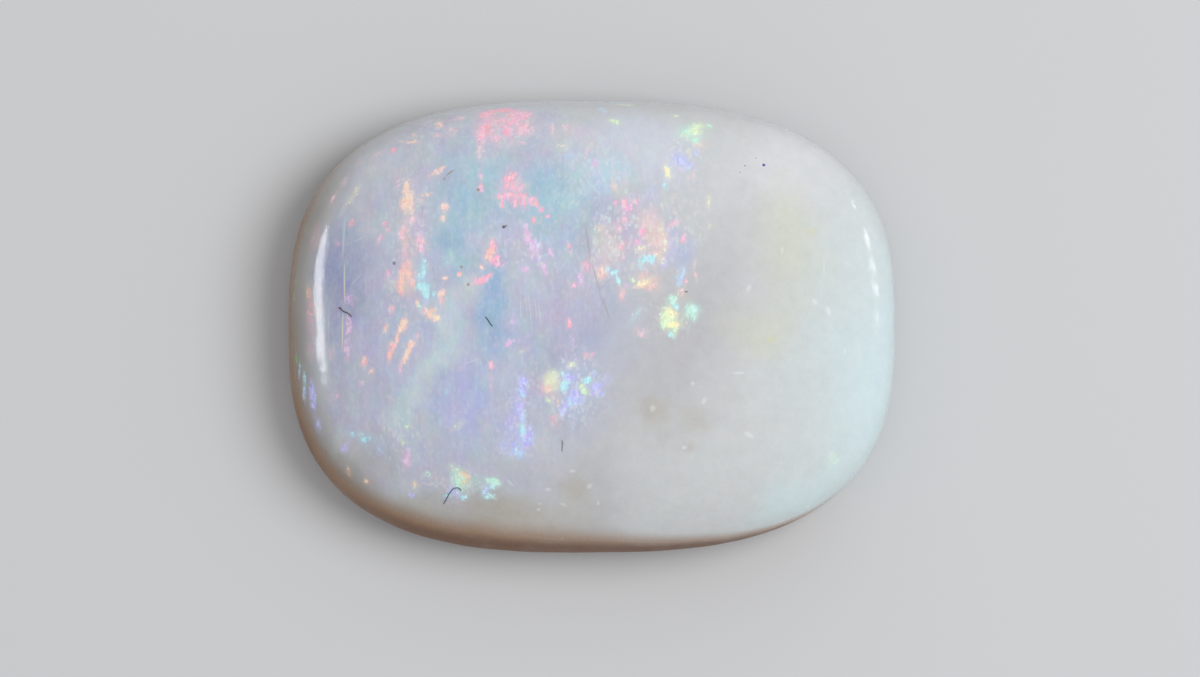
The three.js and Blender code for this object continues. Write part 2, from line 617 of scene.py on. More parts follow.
def use_group(tree, group, inputs):
    """A node group placed in a tree. Gives its outputs."""
    made = tree.nodes.new("ShaderNodeGroup")
    made.node_tree = group
    for key, value in inputs.items():
        if isinstance(value, bpy.types.NodeSocket):
            tree.links.new(value, made.inputs[key])
        else:
            made.inputs[key].default_value = value
    return made.outputs


# Small marks: how far what is under one nudges it, and the share of its half size that stays full
MARK_NUDGE = (0.01, 0.01, 0)
MARK_CORE = 0.3

# Flecks: gain of their cover, range over which they set in, spread and start of their hue, and their glow
FLECK_REACH = 1.5
FLECK_ONSET = (-0.05, 0.75)
HUE_SPREAD = 0.08
HUE_START = 0.46
FLECK_GLOW = 0.4


def mark_group():
    """A small soft oval of one colour over another. What is under it nudges it a little."""
    inputs = (
        ("Place", "Vector"),
        ("Middle", "Vector"),
        ("Turn", "Vector"),
        ("Half Size", "Vector"),
        ("Strength", "Float"),
        ("Under", "Color"),
        ("Mark", "Color"),
    )
    tree, given, result = new_group("Small mark", inputs, (("Colour", "Color"),))
    middle = vector_maths(tree, "MULTIPLY_ADD", given["Under"], MARK_NUDGE, given["Middle"])
    inputs = {
        "Vector": given["Place"],
        "Location": middle,
        "Rotation": given["Turn"],
        "Scale": given["Half Size"],
    }
    local = add(tree, "ShaderNodeMapping", inputs, vector_type="TEXTURE").outputs[0]
    distance = add(tree, "ShaderNodeVectorMath", {0: local}, operation="LENGTH").outputs["Value"]
    cover = ramp(tree, distance, 1.0, MARK_CORE, 0.0, given["Strength"])
    tree.links.new(blend(tree, cover, given["Under"], given["Mark"]), result["Colour"])
    return tree


def fleck_group():
    """One colour of play: flecks where the cover beats the break-up, over a faint glow of the same colour.

    The hue shift and the whiteness give each cell of the opal its own shade.
    """
    inputs = (
        ("Under", "Color"),
        ("Fleck", "Color"),
        ("Cover", "Float"),
        ("Break-up", "Float"),
        ("Hue Shift", "Float"),
        ("Whiteness", "Float"),
    )
    tree, given, result = new_group("Colour flecks", inputs, (("Colour", "Color"),))
    reach = maths(tree, "MULTIPLY", given["Cover"], FLECK_REACH)
    margin = maths(tree, "SUBTRACT", reach, given["Break-up"])
    crisp = ramp(tree, margin, *FLECK_ONSET)
    hue = maths(tree, "MULTIPLY_ADD", given["Hue Shift"], HUE_SPREAD, HUE_START)
    varied = add(tree, "ShaderNodeHueSaturation", {"Hue": hue, "Color": given["Fleck"]}).outputs[0]
    shade = blend(tree, given["Whiteness"], varied, (1, 1, 1, 1))
    glow = maths(tree, "MULTIPLY", given["Cover"], FLECK_GLOW)
    cover = maths(tree, "MAXIMUM", crisp, glow)
    tree.links.new(blend(tree, cover, given["Under"], shade), result["Colour"])
    return tree


# Marks on the face, in millimetres as seen from above: x, y, half width, half length,
# lean to the right of +Y in degrees, and strength. Soft clouds come first, each over the ones before it.

CLOUDS = (
    ("ice", 8.4, -1.8, 6.6, 9.5, 0, 1.0),
    ("chalk", 5.2, 4.5, 3.6, 2.2, -25, 0.75),
    ("ash", 2.3, -0.3, 2.3, 4.9, 24, 0.9),
    ("ash", 0.2, -4.3, 2.9, 1.5, 80, 0.75),
    ("straw", 5.3, 2.2, 1.5, 2.7, -5, 0.34),
    ("straw", 4.4, -0.1, 1.8, 1.1, 0, 0.28),
    ("ice", 5.4, -4.6, 1.3, 2.4, 65, 0.6),
    ("mist", -2.5, 3.3, 6.4, 4.6, 0, 0.95),
    ("mist", -4.4, -0.7, 5.6, 5.2, 0, 1.0),
    ("mist", -0.3, 0.1, 2.6, 2.0, 0, 0.85),
    ("dusk", -0.6, -0.9, 2.3, 3.2, 0, 0.42),
    ("dusk", 0.2, 0.6, 1.5, 1.3, 0, 0.3),
    ("dusk", 0.2, 2.4, 2.0, 1.2, 0, 0.25),
    ("teal", -0.8, 2.9, 1.4, 0.9, 0, 0.5),
    ("teal", -1.5, 3.3, 0.8, 0.8, 0, 0.4),
    ("ash", -1.2, -3.9, 1.5, 1.1, 0, 0.5),
    ("ash", 0.4, 0.3, 1.1, 1.0, 0, 0.35),
    ("dusk", -6.5, -1.3, 0.8, 2.0, 0, 0.3),
    # painted shade: taupe clouds darken the lower left, where less light falls
    ("taupe", -5.6, -3.5, 1.2, 1.0, 0, 0.22),
    ("pearl", -5.8, 4.5, 0.7, 1.9, 50, 0.6),
    ("dusk", -3.2, -3.9, 3.6, 1.5, 0, 0.3),
    # painted shade along the lower edge
    ("taupe", -3.2, -4.9, 4.2, 1.1, 0, 0.35),
    ("pearl", 1.2, 4.9, 2.4, 1.5, 0, 0.85),
    ("pearl", -3.4, 5.7, 2.2, 0.7, 0, 0.35),
    ("teal", -1.0, 3.7, 1.7, 1.1, 0, 0.9),
    ("teal", -3.2, 3.5, 1.5, 2.4, 10, 0.85),
    ("teal", -3.5, 1.7, 0.9, 1.1, 0, 0.7),
    ("glacier", 0.2, 4.0, 1.0, 0.8, 0, 0.8),
    ("azure", -2.45, 0.75, 0.75, 1.9, 0, 0.85),
    ("azure", -2.7, -0.4, 0.7, 1.1, 0, 0.6),
    ("azure", -3.6, 2.3, 0.7, 0.5, 0, 0.6),
    ("dusk", -6.6, 1.2, 1.1, 2.9, 0, 0.9),
    ("lilac", -5.7, 0.0, 0.8, 2.4, 0, 0.6),
    ("foam", -4.1, -0.8, 0.75, 2.7, 24, 0.8),
    ("foam", -5.0, -2.6, 0.7, 0.9, 0, 0.6),
    ("iris", -3.3, -2.1, 1.2, 1.7, 0, 0.8),
    ("iris", -2.0, -2.6, 0.7, 1.2, 0, 0.5),
    ("mauve", -0.7, 0.7, 1.1, 1.7, 0, 0.45),
    ("mauve", 1.2, 2.2, 1.1, 1.3, 0, 0.5),
    ("mauve", -3.6, -3.9, 1.3, 0.7, 0, 0.4),
    ("iris", 2.2, 2.2, 0.45, 1.0, 0, 0.5),
    ("peach", 1.65, 2.45, 0.5, 0.75, 0, 0.3),
    ("peach", 1.5, 1.2, 0.5, 0.35, 0, 0.35),
    ("cream", 0.55, 2.0, 0.5, 0.7, 0, 0.2),
    ("blush", 0.2, 1.6, 0.5, 0.5, 0, 0.2),
    ("blush", -2.3, 5.3, 1.1, 0.7, 0, 0.25),
    ("blush", -2.1, 3.6, 0.6, 0.5, 0, 0.35),
    ("blush", -4.85, 2.5, 0.4, 1.5, 4, 0.25),
    ("peach", -4.8, 1.3, 0.4, 0.8, 6, 0.4),
    ("glacier", -4.4, 1.2, 0.3, 0.6, 0, 0.4),
    ("mint", 2.6, 5.1, 0.6, 0.5, 0, 0.35),
    ("lime", 2.1, 0.2, 0.45, 0.5, 0, 0.35),
    ("mint", 2.65, 0.4, 0.4, 0.4, 0, 0.3),
    ("mint", -3.2, -4.1, 0.9, 0.5, 0, 0.3),
    ("violet", -1.8, -2.6, 0.5, 1.3, 0, 0.3),
    ("sky", -0.4, -1.6, 0.9, 0.6, 0, 0.2),
    ("cream", -1.05, -1.45, 0.36, 0.42, 0, 0.6),
    ("mint", -3.45, -4.0, 0.36, 0.42, 0, 0.55),
    ("orchid", -4.86, -3.5, 0.24, 0.36, 0, 0.5),
    ("ember", -3.38, -3.95, 0.2, 0.24, 0, 0.6),
    ("putty", 1.65, -2.35, 0.5, 0.7, 20, 0.5),
    ("putty", 2.6, -2.4, 0.7, 0.6, 0, 0.3),
    ("putty", -0.5, -4.25, 0.6, 0.6, 0, 0.5),
    ("putty", 2.55, -3.15, 0.3, 0.22, 0, 0.4),
    ("straw", 5.75, 2.5, 0.22, 0.16, 0, 0.6),
    ("straw", 4.72, -0.36, 0.2, 0.14, 0, 0.7),
    # painted shade low on the left
    ("taupe", -6.5, -3.9, 1.1, 2.0, -50, 0.5),
    ("putty", -2.6, -5.4, 1.7, 4.2, 84, 0.6),
    ("putty", -5.2, -4.9, 1.2, 1.8, -50, 0.6),
    ("lilac", -5.8, -2.9, 1.1, 1.5, -30, 0.35),
)

FLECKS = {
    "blush": (
        (-2.3, 5.35, 0.85, 0.55, 0, 0.4),
        (-1.75, 5.2, 0.3, 0.3, 0, 0.75),
        (-1.8, 4.83, 0.14, 0.07, 0, 0.8),
        (-2.9, 4.65, 0.13, 0.42, 0, 0.7),
        (-2.92, 4.0, 0.06, 0.3, 0, 0.8),
        (-1.05, 5.2, 0.08, 0.18, 0, 0.75),
        (-0.68, 5.22, 0.08, 0.16, 0, 0.75),
        (-0.35, 5.1, 0.25, 0.2, 0, 0.35),
        (-0.1, 4.6, 0.35, 0.05, -65, 0.6),
        (-3.45, 5.5, 0.2, 0.1, 0, 0.6),
        (-3.7, 5.15, 0.25, 0.25, 0, 0.5),
        (-4.75, 2.8, 0.14, 0.12, 0, 0.75),
        (-4.97, 2.45, 0.1, 0.4, 6, 0.75),
        (-4.9, 1.95, 0.08, 0.3, 0, 0.7),
        (-4.5, 2.15, 0.17, 0.3, 0, 0.85),
        (-5.05, 3.85, 0.06, 0.18, 0, 0.7),
        (-4.62, 3.85, 0.06, 0.12, 0, 0.6),
        (-5.02, -1.02, 0.06, 0.22, 15, 0.85),
        (-4.58, -0.25, 0.06, 0.2, 25, 0.8),
        (-5.25, 0.45, 0.1, 0.16, 40, 0.75),
        (-6.85, -0.7, 0.1, 0.2, 0, 0.6),
        (-6.7, -1.85, 0.15, 0.15, 0, 0.55),
        (-6.05, -1.45, 0.12, 0.1, 0, 0.6),
        (2.72, 1.68, 0.05, 0.18, 0, 0.6),
        (2.74, 1.32, 0.06, 0.18, 0, 0.7),
        (1.3, -0.15, 0.2, 0.14, 0, 0.5),
        (1.5, 2.9, 0.2, 0.2, 0, 0.4),
        (-6.1, 4.35, 0.1, 0.2, 30, 0.5),
        (-6.5, 3.85, 0.09, 0.2, 22, 0.65),
        (-6.8, 3.4, 0.09, 0.22, 22, 0.7),
        (-5.6, 4.55, 0.09, 0.25, 60, 0.65),
        (-3.0, 2.3, 0.3, 0.2, 0, 0.3),
    ),
    "orchid": (
        (-1.68, 2.35, 0.16, 0.38, -8, 0.8),
        (-1.5, 2.05, 0.2, 0.3, 0, 0.75),
        (-1.35, 1.72, 0.08, 0.4, -14, 0.85),
        (-1.75, 1.52, 0.13, 0.09, 0, 0.9),
        (-1.24, 1.5, 0.09, 0.22, -6, 0.8),
        (-1.08, 1.95, 0.05, 0.28, -20, 0.75),
        (-0.3, 1.25, 0.1, 0.16, 0, 0.75),
        (-2.12, 0.15, 0.13, 0.3, 0, 0.45),
        (-2.15, -0.42, 0.15, 0.12, 0, 0.75),
        (-0.5, -0.3, 0.07, 0.3, 0, 0.5),
        (0.1, 4.3, 0.12, 0.2, -20, 0.75),
        (0.9, 3.15, 0.2, 0.25, 0, 0.55),
        (1.22, 2.22, 0.09, 0.16, 0, 0.7),
        (-4.8, -3.35, 0.09, 0.17, 0, 0.8),
        (-4.86, -3.55, 0.14, 0.1, 0, 0.8),
        (-5.0, -3.74, 0.06, 0.09, 0, 0.8),
        (-5.25, -1.9, 0.08, 0.06, 0, 0.8),
        (-6.36, 0.74, 0.19, 0.2, 0, 0.75),
        (-6.4, 0.05, 0.14, 0.34, 0, 0.8),
        (-6.43, -0.55, 0.1, 0.35, 0, 0.8),
        (-6.62, -0.05, 0.06, 0.06, 0, 0.8),
        (0.95, 1.1, 0.12, 0.08, 0, 0.5),
        (-3.35, -2.2, 0.4, 0.3, 0, 0.25),
    ),
    "rose": (
        (-2.75, 5.58, 0.26, 0.24, 30, 0.95),
        (-2.35, 5.7, 0.42, 0.12, 0, 0.95),
        (-2.05, 5.58, 0.26, 0.26, 0, 0.9),
        (-1.75, 5.57, 0.2, 0.22, 0, 0.85),
        (-2.83, 5.22, 0.18, 0.34, 20, 0.95),
        (-2.92, 5.0, 0.17, 0.17, 0, 0.95),
        (-2.66, 5.13, 0.07, 0.09, 0, 0.9),
        (-2.22, 5.15, 0.13, 0.24, 0, 0.9),
        (-2.55, 4.98, 0.2, 0.16, 0, 0.75),
        (-2.1, 5.38, 0.2, 0.16, 0, 0.85),
        (-2.45, 5.4, 0.3, 0.14, 0, 0.7),
        (-1.83, 5.22, 0.16, 0.2, 0, 0.7),
        (-2.9, 3.66, 0.09, 0.12, 0, 0.95),
        (-2.12, 3.86, 0.26, 0.28, 20, 0.75),
        (-2.05, 3.66, 0.34, 0.17, 0, 0.7),
        (-2.2, 3.42, 0.42, 0.14, 0, 0.75),
        (-2.36, 3.24, 0.09, 0.16, 0, 0.9),
        (-2.0, 3.32, 0.09, 0.2, 0, 0.9),
        (-1.78, 3.34, 0.14, 0.2, 0, 0.85),
        (-1.56, 3.32, 0.14, 0.12, 30, 0.95),
        (-1.44, 3.24, 0.07, 0.1, 0, 0.9),
        (-1.32, 3.09, 0.08, 0.1, 0, 1.0),
        (-1.17, 2.87, 0.07, 0.06, 0, 0.9),
        (-1.5, 2.78, 0.06, 0.11, 0, 0.85),
        (-2.58, 2.12, 0.12, 0.2, 0, 0.85),
        (-2.5, 1.7, 0.22, 0.15, 40, 0.9),
        (-2.85, 1.27, 0.1, 0.3, 62, 0.95),
        (-3.02, 1.22, 0.1, 0.09, 0, 0.85),
        (-0.6, 2.1, 0.09, 0.16, -20, 0.6),
        (-0.15, 1.55, 0.15, 0.15, 0, 0.7),
        (-0.46, 1.12, 0.13, 0.12, 0, 0.6),
        (-0.6, 0.09, 0.08, 0.11, 0, 0.95),
        (-0.08, -0.74, 0.2, 0.08, 0, 0.5),
        (0.88, 3.2, 0.15, 0.22, 0, 0.6),
        (1.02, 3.08, 0.07, 0.16, 0, 0.6),
        (0.88, 2.83, 0.13, 0.15, 0, 0.6),
        (0.7, 2.62, 0.1, 0.17, 0, 0.55),
        (0.62, 3.25, 0.07, 0.1, 0, 0.7),
        (1.18, 3.26, 0.06, 0.14, -15, 0.75),
        (1.33, 2.5, 0.09, 0.2, 0, 0.75),
        (0.8, 2.16, 0.08, 0.17, 25, 0.75),
        (1.14, 2.2, 0.12, 0.12, 0, 0.55),
        (2.17, 2.7, 0.09, 0.18, 55, 0.7),
        (2.42, 2.35, 0.09, 0.14, 0, 0.75),
        (2.46, 1.2, 0.06, 0.16, 0, 0.6),
        (-2.64, -0.99, 0.05, 0.11, 0, 1.0),
        (-2.64, -1.45, 0.06, 0.35, 0, 0.5),
        (-5.22, 4.63, 0.09, 0.09, 0, 0.95),
        (-5.42, 2.73, 0.07, 0.06, 0, 0.85),
        (-5.38, 2.55, 0.07, 0.07, 0, 0.85),
        (-5.55, 2.3, 0.07, 0.12, 15, 0.8),
        (-5.35, 1.38, 0.07, 0.16, 0, 0.8),
        (-6.68, 2.2, 0.09, 0.11, 0, 0.7),
        (-6.3, 2.7, 0.1, 0.1, 0, 0.65),
        (-6.46, -0.86, 0.1, 0.11, 0, 0.8),
        (-7.4, 0.3, 0.16, 0.7, 0, 0.5),
        (-7.42, -0.6, 0.16, 0.3, 0, 0.4),
        (-7.28, 2.35, 0.16, 0.4, 12, 0.4),
    ),
    "salmon": (
        (-2.68, 1.88, 0.15, 0.22, 0, 1.0),
        (-4.94, 1.35, 0.12, 0.42, 8, 0.95),
        (-5.02, 1.0, 0.08, 0.2, 0, 0.95),
        (-4.78, 1.4, 0.11, 0.34, 0, 0.8),
        (-4.7, 1.15, 0.08, 0.16, 0, 0.75),
        (-4.58, 0.66, 0.06, 0.17, 0, 0.8),
        (-5.08, -0.22, 0.08, 0.26, 20, 1.0),
        (-5.22, -0.5, 0.12, 0.16, 0, 1.0),
        (-5.31, -0.75, 0.07, 0.28, 11, 1.0),
        (-3.45, 1.4, 0.08, 0.09, 0, 0.9),
        (-3.94, 0.72, 0.11, 0.2, 0, 0.7),
        (-4.9, 2.3, 0.06, 0.4, 8, 0.6),
        (1.35, 1.4, 0.08, 0.2, 20, 0.5),
        (1.55, 1.05, 0.26, 0.17, 0, 0.55),
        (0.8, 0.86, 0.13, 0.22, 0, 0.6),
        (2.67, 3.95, 0.04, 0.3, 6, 0.55),
        (-1.2, -1.62, 0.22, 0.22, 0, 0.55),
        (-0.95, -2.45, 0.17, 0.2, 0, 0.55),
        (-5.98, -0.92, 0.1, 0.15, 25, 0.8),
    ),
    "peach": (
        (-4.97, 4.9, 0.1, 0.05, 0, 0.95),
        (-4.7, 4.87, 0.22, 0.06, 0, 0.95),
        (-4.68, 5.05, 0.08, 0.09, 0, 0.7),
        (-4.03, 5.3, 0.11, 0.17, 0, 0.85),
        (-4.08, 5.06, 0.09, 0.07, 0, 0.85),
        (-4.02, 4.1, 0.2, 0.1, -30, 0.9),
        (-4.25, 3.97, 0.07, 0.08, 0, 0.8),
        (-4.84, 3.72, 0.09, 0.2, 10, 1.0),
        (-4.87, 3.55, 0.12, 0.16, 0, 1.0),
        (-4.92, 3.28, 0.1, 0.26, 0, 1.0),
        (-4.78, 3.3, 0.13, 0.34, 0, 0.95),
        (-4.74, 3.08, 0.1, 0.18, 0, 0.9),
        (-4.48, 3.33, 0.06, 0.14, 0, 0.8),
        (-4.28, 3.5, 0.12, 0.05, 0, 0.7),
        (-3.88, 3.15, 0.14, 0.18, 0, 0.9),
        (-3.9, 2.88, 0.08, 0.1, 0, 0.9),
        (-4.25, 0.35, 0.2, 0.2, -30, 0.95),
        (-4.08, 0.2, 0.17, 0.13, 40, 0.95),
        (-4.36, 0.46, 0.09, 0.13, 0, 0.8),
        (-3.92, 0.92, 0.08, 0.14, 60, 0.95),
        (-3.84, 1.28, 0.09, 0.06, 0, 0.95),
        (-2.9, 1.6, 0.07, 0.07, 0, 0.95),
        (-5.38, 0.03, 0.06, 0.1, 15, 1.0),
        (-5.43, -0.13, 0.07, 0.11, 10, 1.0),
        (-4.95, 0.05, 0.13, 0.24, 15, 1.0),
        (-4.75, -0.47, 0.12, 0.11, 40, 1.0),
        (-4.84, -0.72, 0.1, 0.28, 20, 1.0),
        (-5.78, -1.17, 0.05, 0.14, 60, 0.9),
        (1.62, 2.55, 0.3, 0.5, 0, 0.35),
        (1.78, 2.2, 0.24, 0.3, 0, 0.4),
        (1.72, 1.85, 0.17, 0.25, 0, 0.55),
        (1.3, 1.08, 0.07, 0.28, 70, 0.8),
        (0.25, 1.4, 0.17, 0.2, 0, 0.7),
        (0.2, 2.6, 0.14, 0.12, 0, 0.7),
        (0.6, 3.75, 0.07, 0.3, -10, 0.55),
        (0.6, 2.0, 0.3, 0.4, 0, 0.35),
        (-0.95, -1.9, 0.2, 0.2, 0, 0.4),
        (2.35, 0.85, 0.15, 0.2, 0, 0.5),
        (2.85, 4.8, 0.2, 0.12, 0, 0.5),
    ),
    "ember": (
        (-5.93, -4.09, 0.1, 0.11, 0, 0.95),
        (-6.4, -3.83, 0.09, 0.12, 0, 0.75),
        (-7.46, 0.88, 0.08, 0.2, 0, 0.9),
        (-5.35, 5.2, 0.1, 0.25, 60, 0.75),
        (-3.37, -3.95, 0.17, 0.2, 0, 0.95),
        (2.08, 0.36, 0.16, 0.16, 0, 0.6),
        (-4.62, -4.15, 0.1, 0.1, 0, 0.7),
    ),
    "violet": (
        (2.3, 4.4, 0.22, 0.24, 0, 0.7),
        (2.5, 4.25, 0.22, 0.16, 0, 0.7),
        (1.9, 1.66, 0.1, 0.2, 0, 0.8),
        (2.1, 2.1, 0.2, 0.6, 0, 0.35),
        (-1.83, -1.52, 0.18, 0.32, 0, 0.85),
        (-1.9, -2.1, 0.12, 0.3, 0, 0.8),
        (-1.7, -2.9, 0.24, 0.34, 0, 0.85),
        (-2.1, -3.2, 0.42, 0.26, 0, 0.6),
        (-0.55, -1.36, 0.2, 0.18, 0, 0.8),
        (-0.45, -1.85, 0.25, 0.24, 0, 0.85),
        (-0.72, -2.15, 0.12, 0.24, 25, 0.9),
        (0.15, -1.64, 0.2, 0.2, 0, 0.8),
        (0.35, -1.38, 0.2, 0.2, 0, 0.5),
        (-6.5, -3.15, 0.11, 0.2, 50, 0.9),
        (-7.2, -2.6, 0.12, 0.22, 0, 0.85),
        (-7.35, -1.85, 0.15, 0.5, 0, 0.95),
        (-4.75, -4.42, 0.09, 0.12, 0, 0.95),
        (-3.6, -4.35, 0.22, 0.16, 40, 0.85),
        (1.6, 3.5, 0.25, 0.3, 0, 0.4),
        (-2.0, 0.3, 0.1, 0.4, 0, 0.4),
        (-4.0, 0.75, 0.1, 0.3, 0, 0.4),
        (-4.35, 0.65, 0.1, 0.18, 0, 0.5),
    ),
    "sky": (
        (2.72, 4.55, 0.07, 0.1, 0, 0.8),
        (2.32, 1.3, 0.12, 0.3, 15, 0.6),
        (-1.8, -1.74, 0.1, 0.1, 0, 0.95),
        (-1.82, -2.38, 0.1, 0.2, 0, 0.9),
        (-1.9, -3.28, 0.13, 0.2, 0, 0.85),
        (-0.52, -1.96, 0.14, 0.12, 40, 0.9),
        (-0.81, -2.27, 0.07, 0.08, 0, 1.0),
        (0.05, -1.2, 0.1, 0.1, 0, 0.7),
        (-5.55, -3.2, 0.12, 0.25, 0, 0.5),
        (-2.76, -4.3, 0.11, 0.14, 0, 0.85),
        (-0.6, 4.5, 0.3, 0.06, 0, 0.5),
        (-1.4, 2.0, 0.05, 0.5, -16, 0.55),
        (-7.57, -1.75, 0.09, 0.3, 0, 0.9),
        (-7.7, -1.2, 0.06, 0.3, 5, 0.8),
        (0.25, 5.7, 0.22, 0.09, 50, 0.6),
    ),
    "aqua": (
        (-4.42, 1.5, 0.11, 0.34, 0, 0.95),
        (-4.44, 1.03, 0.2, 0.13, 20, 0.95),
        (-4.35, 0.9, 0.1, 0.22, 0, 0.9),
        (-4.57, 1.22, 0.09, 0.2, 0, 0.75),
        (-4.12, 0.85, 0.08, 0.2, 0, 0.55),
        (1.5, 1.76, 0.2, 0.13, 0, 0.95),
        (1.28, 1.7, 0.15, 0.18, 0, 0.65),
        (0.58, 1.4, 0.14, 0.08, -30, 0.9),
        (0.69, 1.22, 0.06, 0.18, -14, 0.9),
        (0.42, 1.49, 0.09, 0.06, -40, 0.8),
        (2.68, 0.44, 0.12, 0.14, 0, 1.0),
        (2.2, 0.57, 0.14, 0.08, 0, 0.85),
        (2.1, -0.2, 0.1, 0.08, 0, 0.85),
        (-0.7, -1.55, 0.12, 0.2, 25, 0.95),
        (-0.08, -1.44, 0.14, 0.12, 0, 0.95),
        (-0.75, -1.24, 0.07, 0.09, 0, 0.9),
        (-1.82, -2.75, 0.1, 0.2, 0, 1.0),
        (-5.99, -2.98, 0.12, 0.08, 0, 1.0),
        (-6.2, -2.85, 0.3, 0.1, 0, 0.6),
        (-5.75, -2.9, 0.25, 0.12, 0, 0.45),
        (-3.35, -4.48, 0.12, 0.12, 30, 0.95),
        (-2.7, -4.47, 0.2, 0.12, 0, 0.95),
        (-2.6, -4.2, 0.1, 0.1, 0, 0.9),
        (-3.75, -4.45, 0.14, 0.08, 0, 0.8),
        (-7.55, -1.4, 0.07, 0.24, -8, 0.8),
        (0.7, 5.86, 0.22, 0.05, 0, 0.8),
        (-2.9, -1.0, 0.2, 0.04, 70, 0.5),
        (-3.8, -1.7, 0.05, 0.08, 0, 0.5),
        (1.15, 0.28, 0.3, 0.1, -55, 0.45),
        (2.05, 4.1, 0.1, 0.1, 0, 0.4),
        (1.95, 3.7, 0.08, 0.2, 0, 0.6),
    ),
    "mint": (
        (-4.5, 0.5, 0.07, 0.17, 0, 0.85),
        (-3.5, -4.05, 0.25, 0.34, 0, 0.8),
        (-2.57, -4.07, 0.22, 0.13, 15, 1.0),
        (-4.33, -3.9, 0.09, 0.13, 50, 0.9),
        (2.62, 0.36, 0.18, 0.24, 0, 0.85),
        (2.12, 0.68, 0.17, 0.16, 0, 0.75),
        (2.62, 5.12, 0.24, 0.22, 0, 0.85),
        (2.75, 4.9, 0.16, 0.1, 0, 0.8),
        (3.1, 5.26, 0.12, 0.13, 0, 0.85),
        (-4.6, 3.1, 0.1, 0.16, 0, 0.45),
        (-3.75, 1.8, 0.15, 0.2, 0, 0.45),
        (-4.8, -2.4, 0.14, 0.3, 20, 0.4),
        (-3.7, -1.5, 0.1, 0.12, 0, 0.4),
        (6.35, -3.5, 0.2, 0.26, 0, 0.35),
        (-6.7, -3.0, 0.15, 0.5, 25, 0.3),
    ),
    "lime": (
        (1.97, 0.2, 0.2, 0.3, 0, 1.0),
        (2.2, -0.08, 0.1, 0.16, 20, 0.9),
        (-1.05, -1.38, 0.22, 0.22, 0, 0.5),
        (-0.93, -1.52, 0.17, 0.17, 0, 0.45),
        (-0.2, -1.64, 0.11, 0.2, -50, 0.85),
        (2.75, 5.28, 0.22, 0.15, 0, 0.9),
        (2.47, 5.0, 0.12, 0.12, 0, 0.8),
        (2.25, 5.53, 0.13, 0.09, 0, 0.85),
        (0.62, 5.38, 0.2, 0.11, 0, 0.8),
        (0.88, 5.83, 0.24, 0.06, 0, 0.75),
        (-3.62, -3.72, 0.24, 0.18, 0, 0.45),
        (-4.85, -2.65, 0.07, 0.07, 0, 0.95),
        (-4.93, -3.08, 0.08, 0.07, 0, 0.95),
        (-5.02, -2.9, 0.1, 0.12, 0, 0.5),
        (-1.1, -1.95, 0.08, 0.07, 0, 0.8),
        (6.3, -3.42, 0.1, 0.12, 0, 0.5),
        (6.42, -3.55, 0.08, 0.1, 0, 0.5),
        (5.68, -4.75, 0.1, 0.06, 0, 0.5),
        (1.1, 1.25, 0.1, 0.06, 40, 0.7),
        (0.75, 3.6, 0.25, 0.25, 0, 0.35),
        (-3.25, 1.0, 0.3, 0.4, 0, 0.3),
    ),
    "cream": (
        (2.1, 0.36, 0.15, 0.14, 0, 0.8),
        (2.16, 0.05, 0.19, 0.13, 0, 1.0),
        (1.97, 4.05, 0.08, 0.2, -25, 0.95),
        (3.07, 3.3, 0.07, 0.24, 0, 0.5),
        (3.1, 2.6, 0.06, 0.08, 0, 0.4),
        (1.85, 2.5, 0.08, 0.25, 0, 0.55),
        (1.92, 2.15, 0.07, 0.25, 0, 0.6),
        (1.35, 1.15, 0.08, 0.25, 65, 0.6),
        (1.85, 1.75, 0.1, 0.2, -35, 0.6),
        (2.75, 5.1, 0.2, 0.14, 0, 0.55),
        (-0.5, -1.0, 0.14, 0.09, 0, 0.6),
        (-1.83, -0.7, 0.08, 0.06, 0, 0.7),
        (-6.2, 3.55, 0.07, 0.28, 25, 0.8),
        (-6.33, 3.33, 0.06, 0.14, 25, 0.7),
        (-6.47, 3.2, 0.05, 0.3, 20, 0.5),
        (-0.8, 4.7, 0.22, 0.2, 0, 0.45),
        (1.32, 2.05, 0.14, 0.1, 0, 0.6),
        (-3.5, -2.6, 0.06, 0.25, 60, 0.5),
        (-4.62, -4.18, 0.1, 0.1, 0, 0.6),
    ),
    "leaf": (
        (-7.53, 2.62, 0.06, 0.08, 0, 0.9),
        (-7.8, 1.15, 0.08, 0.12, 0, 0.75),
        (-7.84, 0.75, 0.07, 0.18, 0, 0.75),
        (-7.78, -0.85, 0.08, 0.14, 0, 0.85),
        (-7.62, -1.05, 0.07, 0.1, 0, 0.6),
        (-7.45, -1.15, 0.07, 0.12, 0, 0.6),
    ),
}

# Zones where tiny flecks of every hue crowd together
SPARKLING = (
    (0.9, 2.2, 1.5, 1.7, 0, 1.0),
    (0.0, 3.9, 1.2, 1.2, 0, 0.5),
    (-0.4, -1.5, 1.2, 0.9, 20, 1.0),
    (-3.5, -4.1, 1.5, 0.7, 0, 0.9),
    (-2.3, 5.3, 0.9, 0.6, 0, 0.7),
    (-4.0, 5.1, 1.2, 0.7, 0, 0.4),
    (2.4, 4.7, 0.9, 1.0, 0, 0.9),
    (2.2, 3.0, 1.0, 1.2, 0, 0.7),
    (-4.8, 2.0, 0.9, 3.4, 4, 0.5),
    (-1.8, -2.4, 0.6, 1.5, 0, 0.8),
    (-5.0, -3.0, 1.2, 0.9, 0, 0.6),
    (2.1, 0.3, 0.9, 0.8, 0, 0.7),
    (-2.0, 2.3, 1.4, 1.6, 0, 0.4),
)

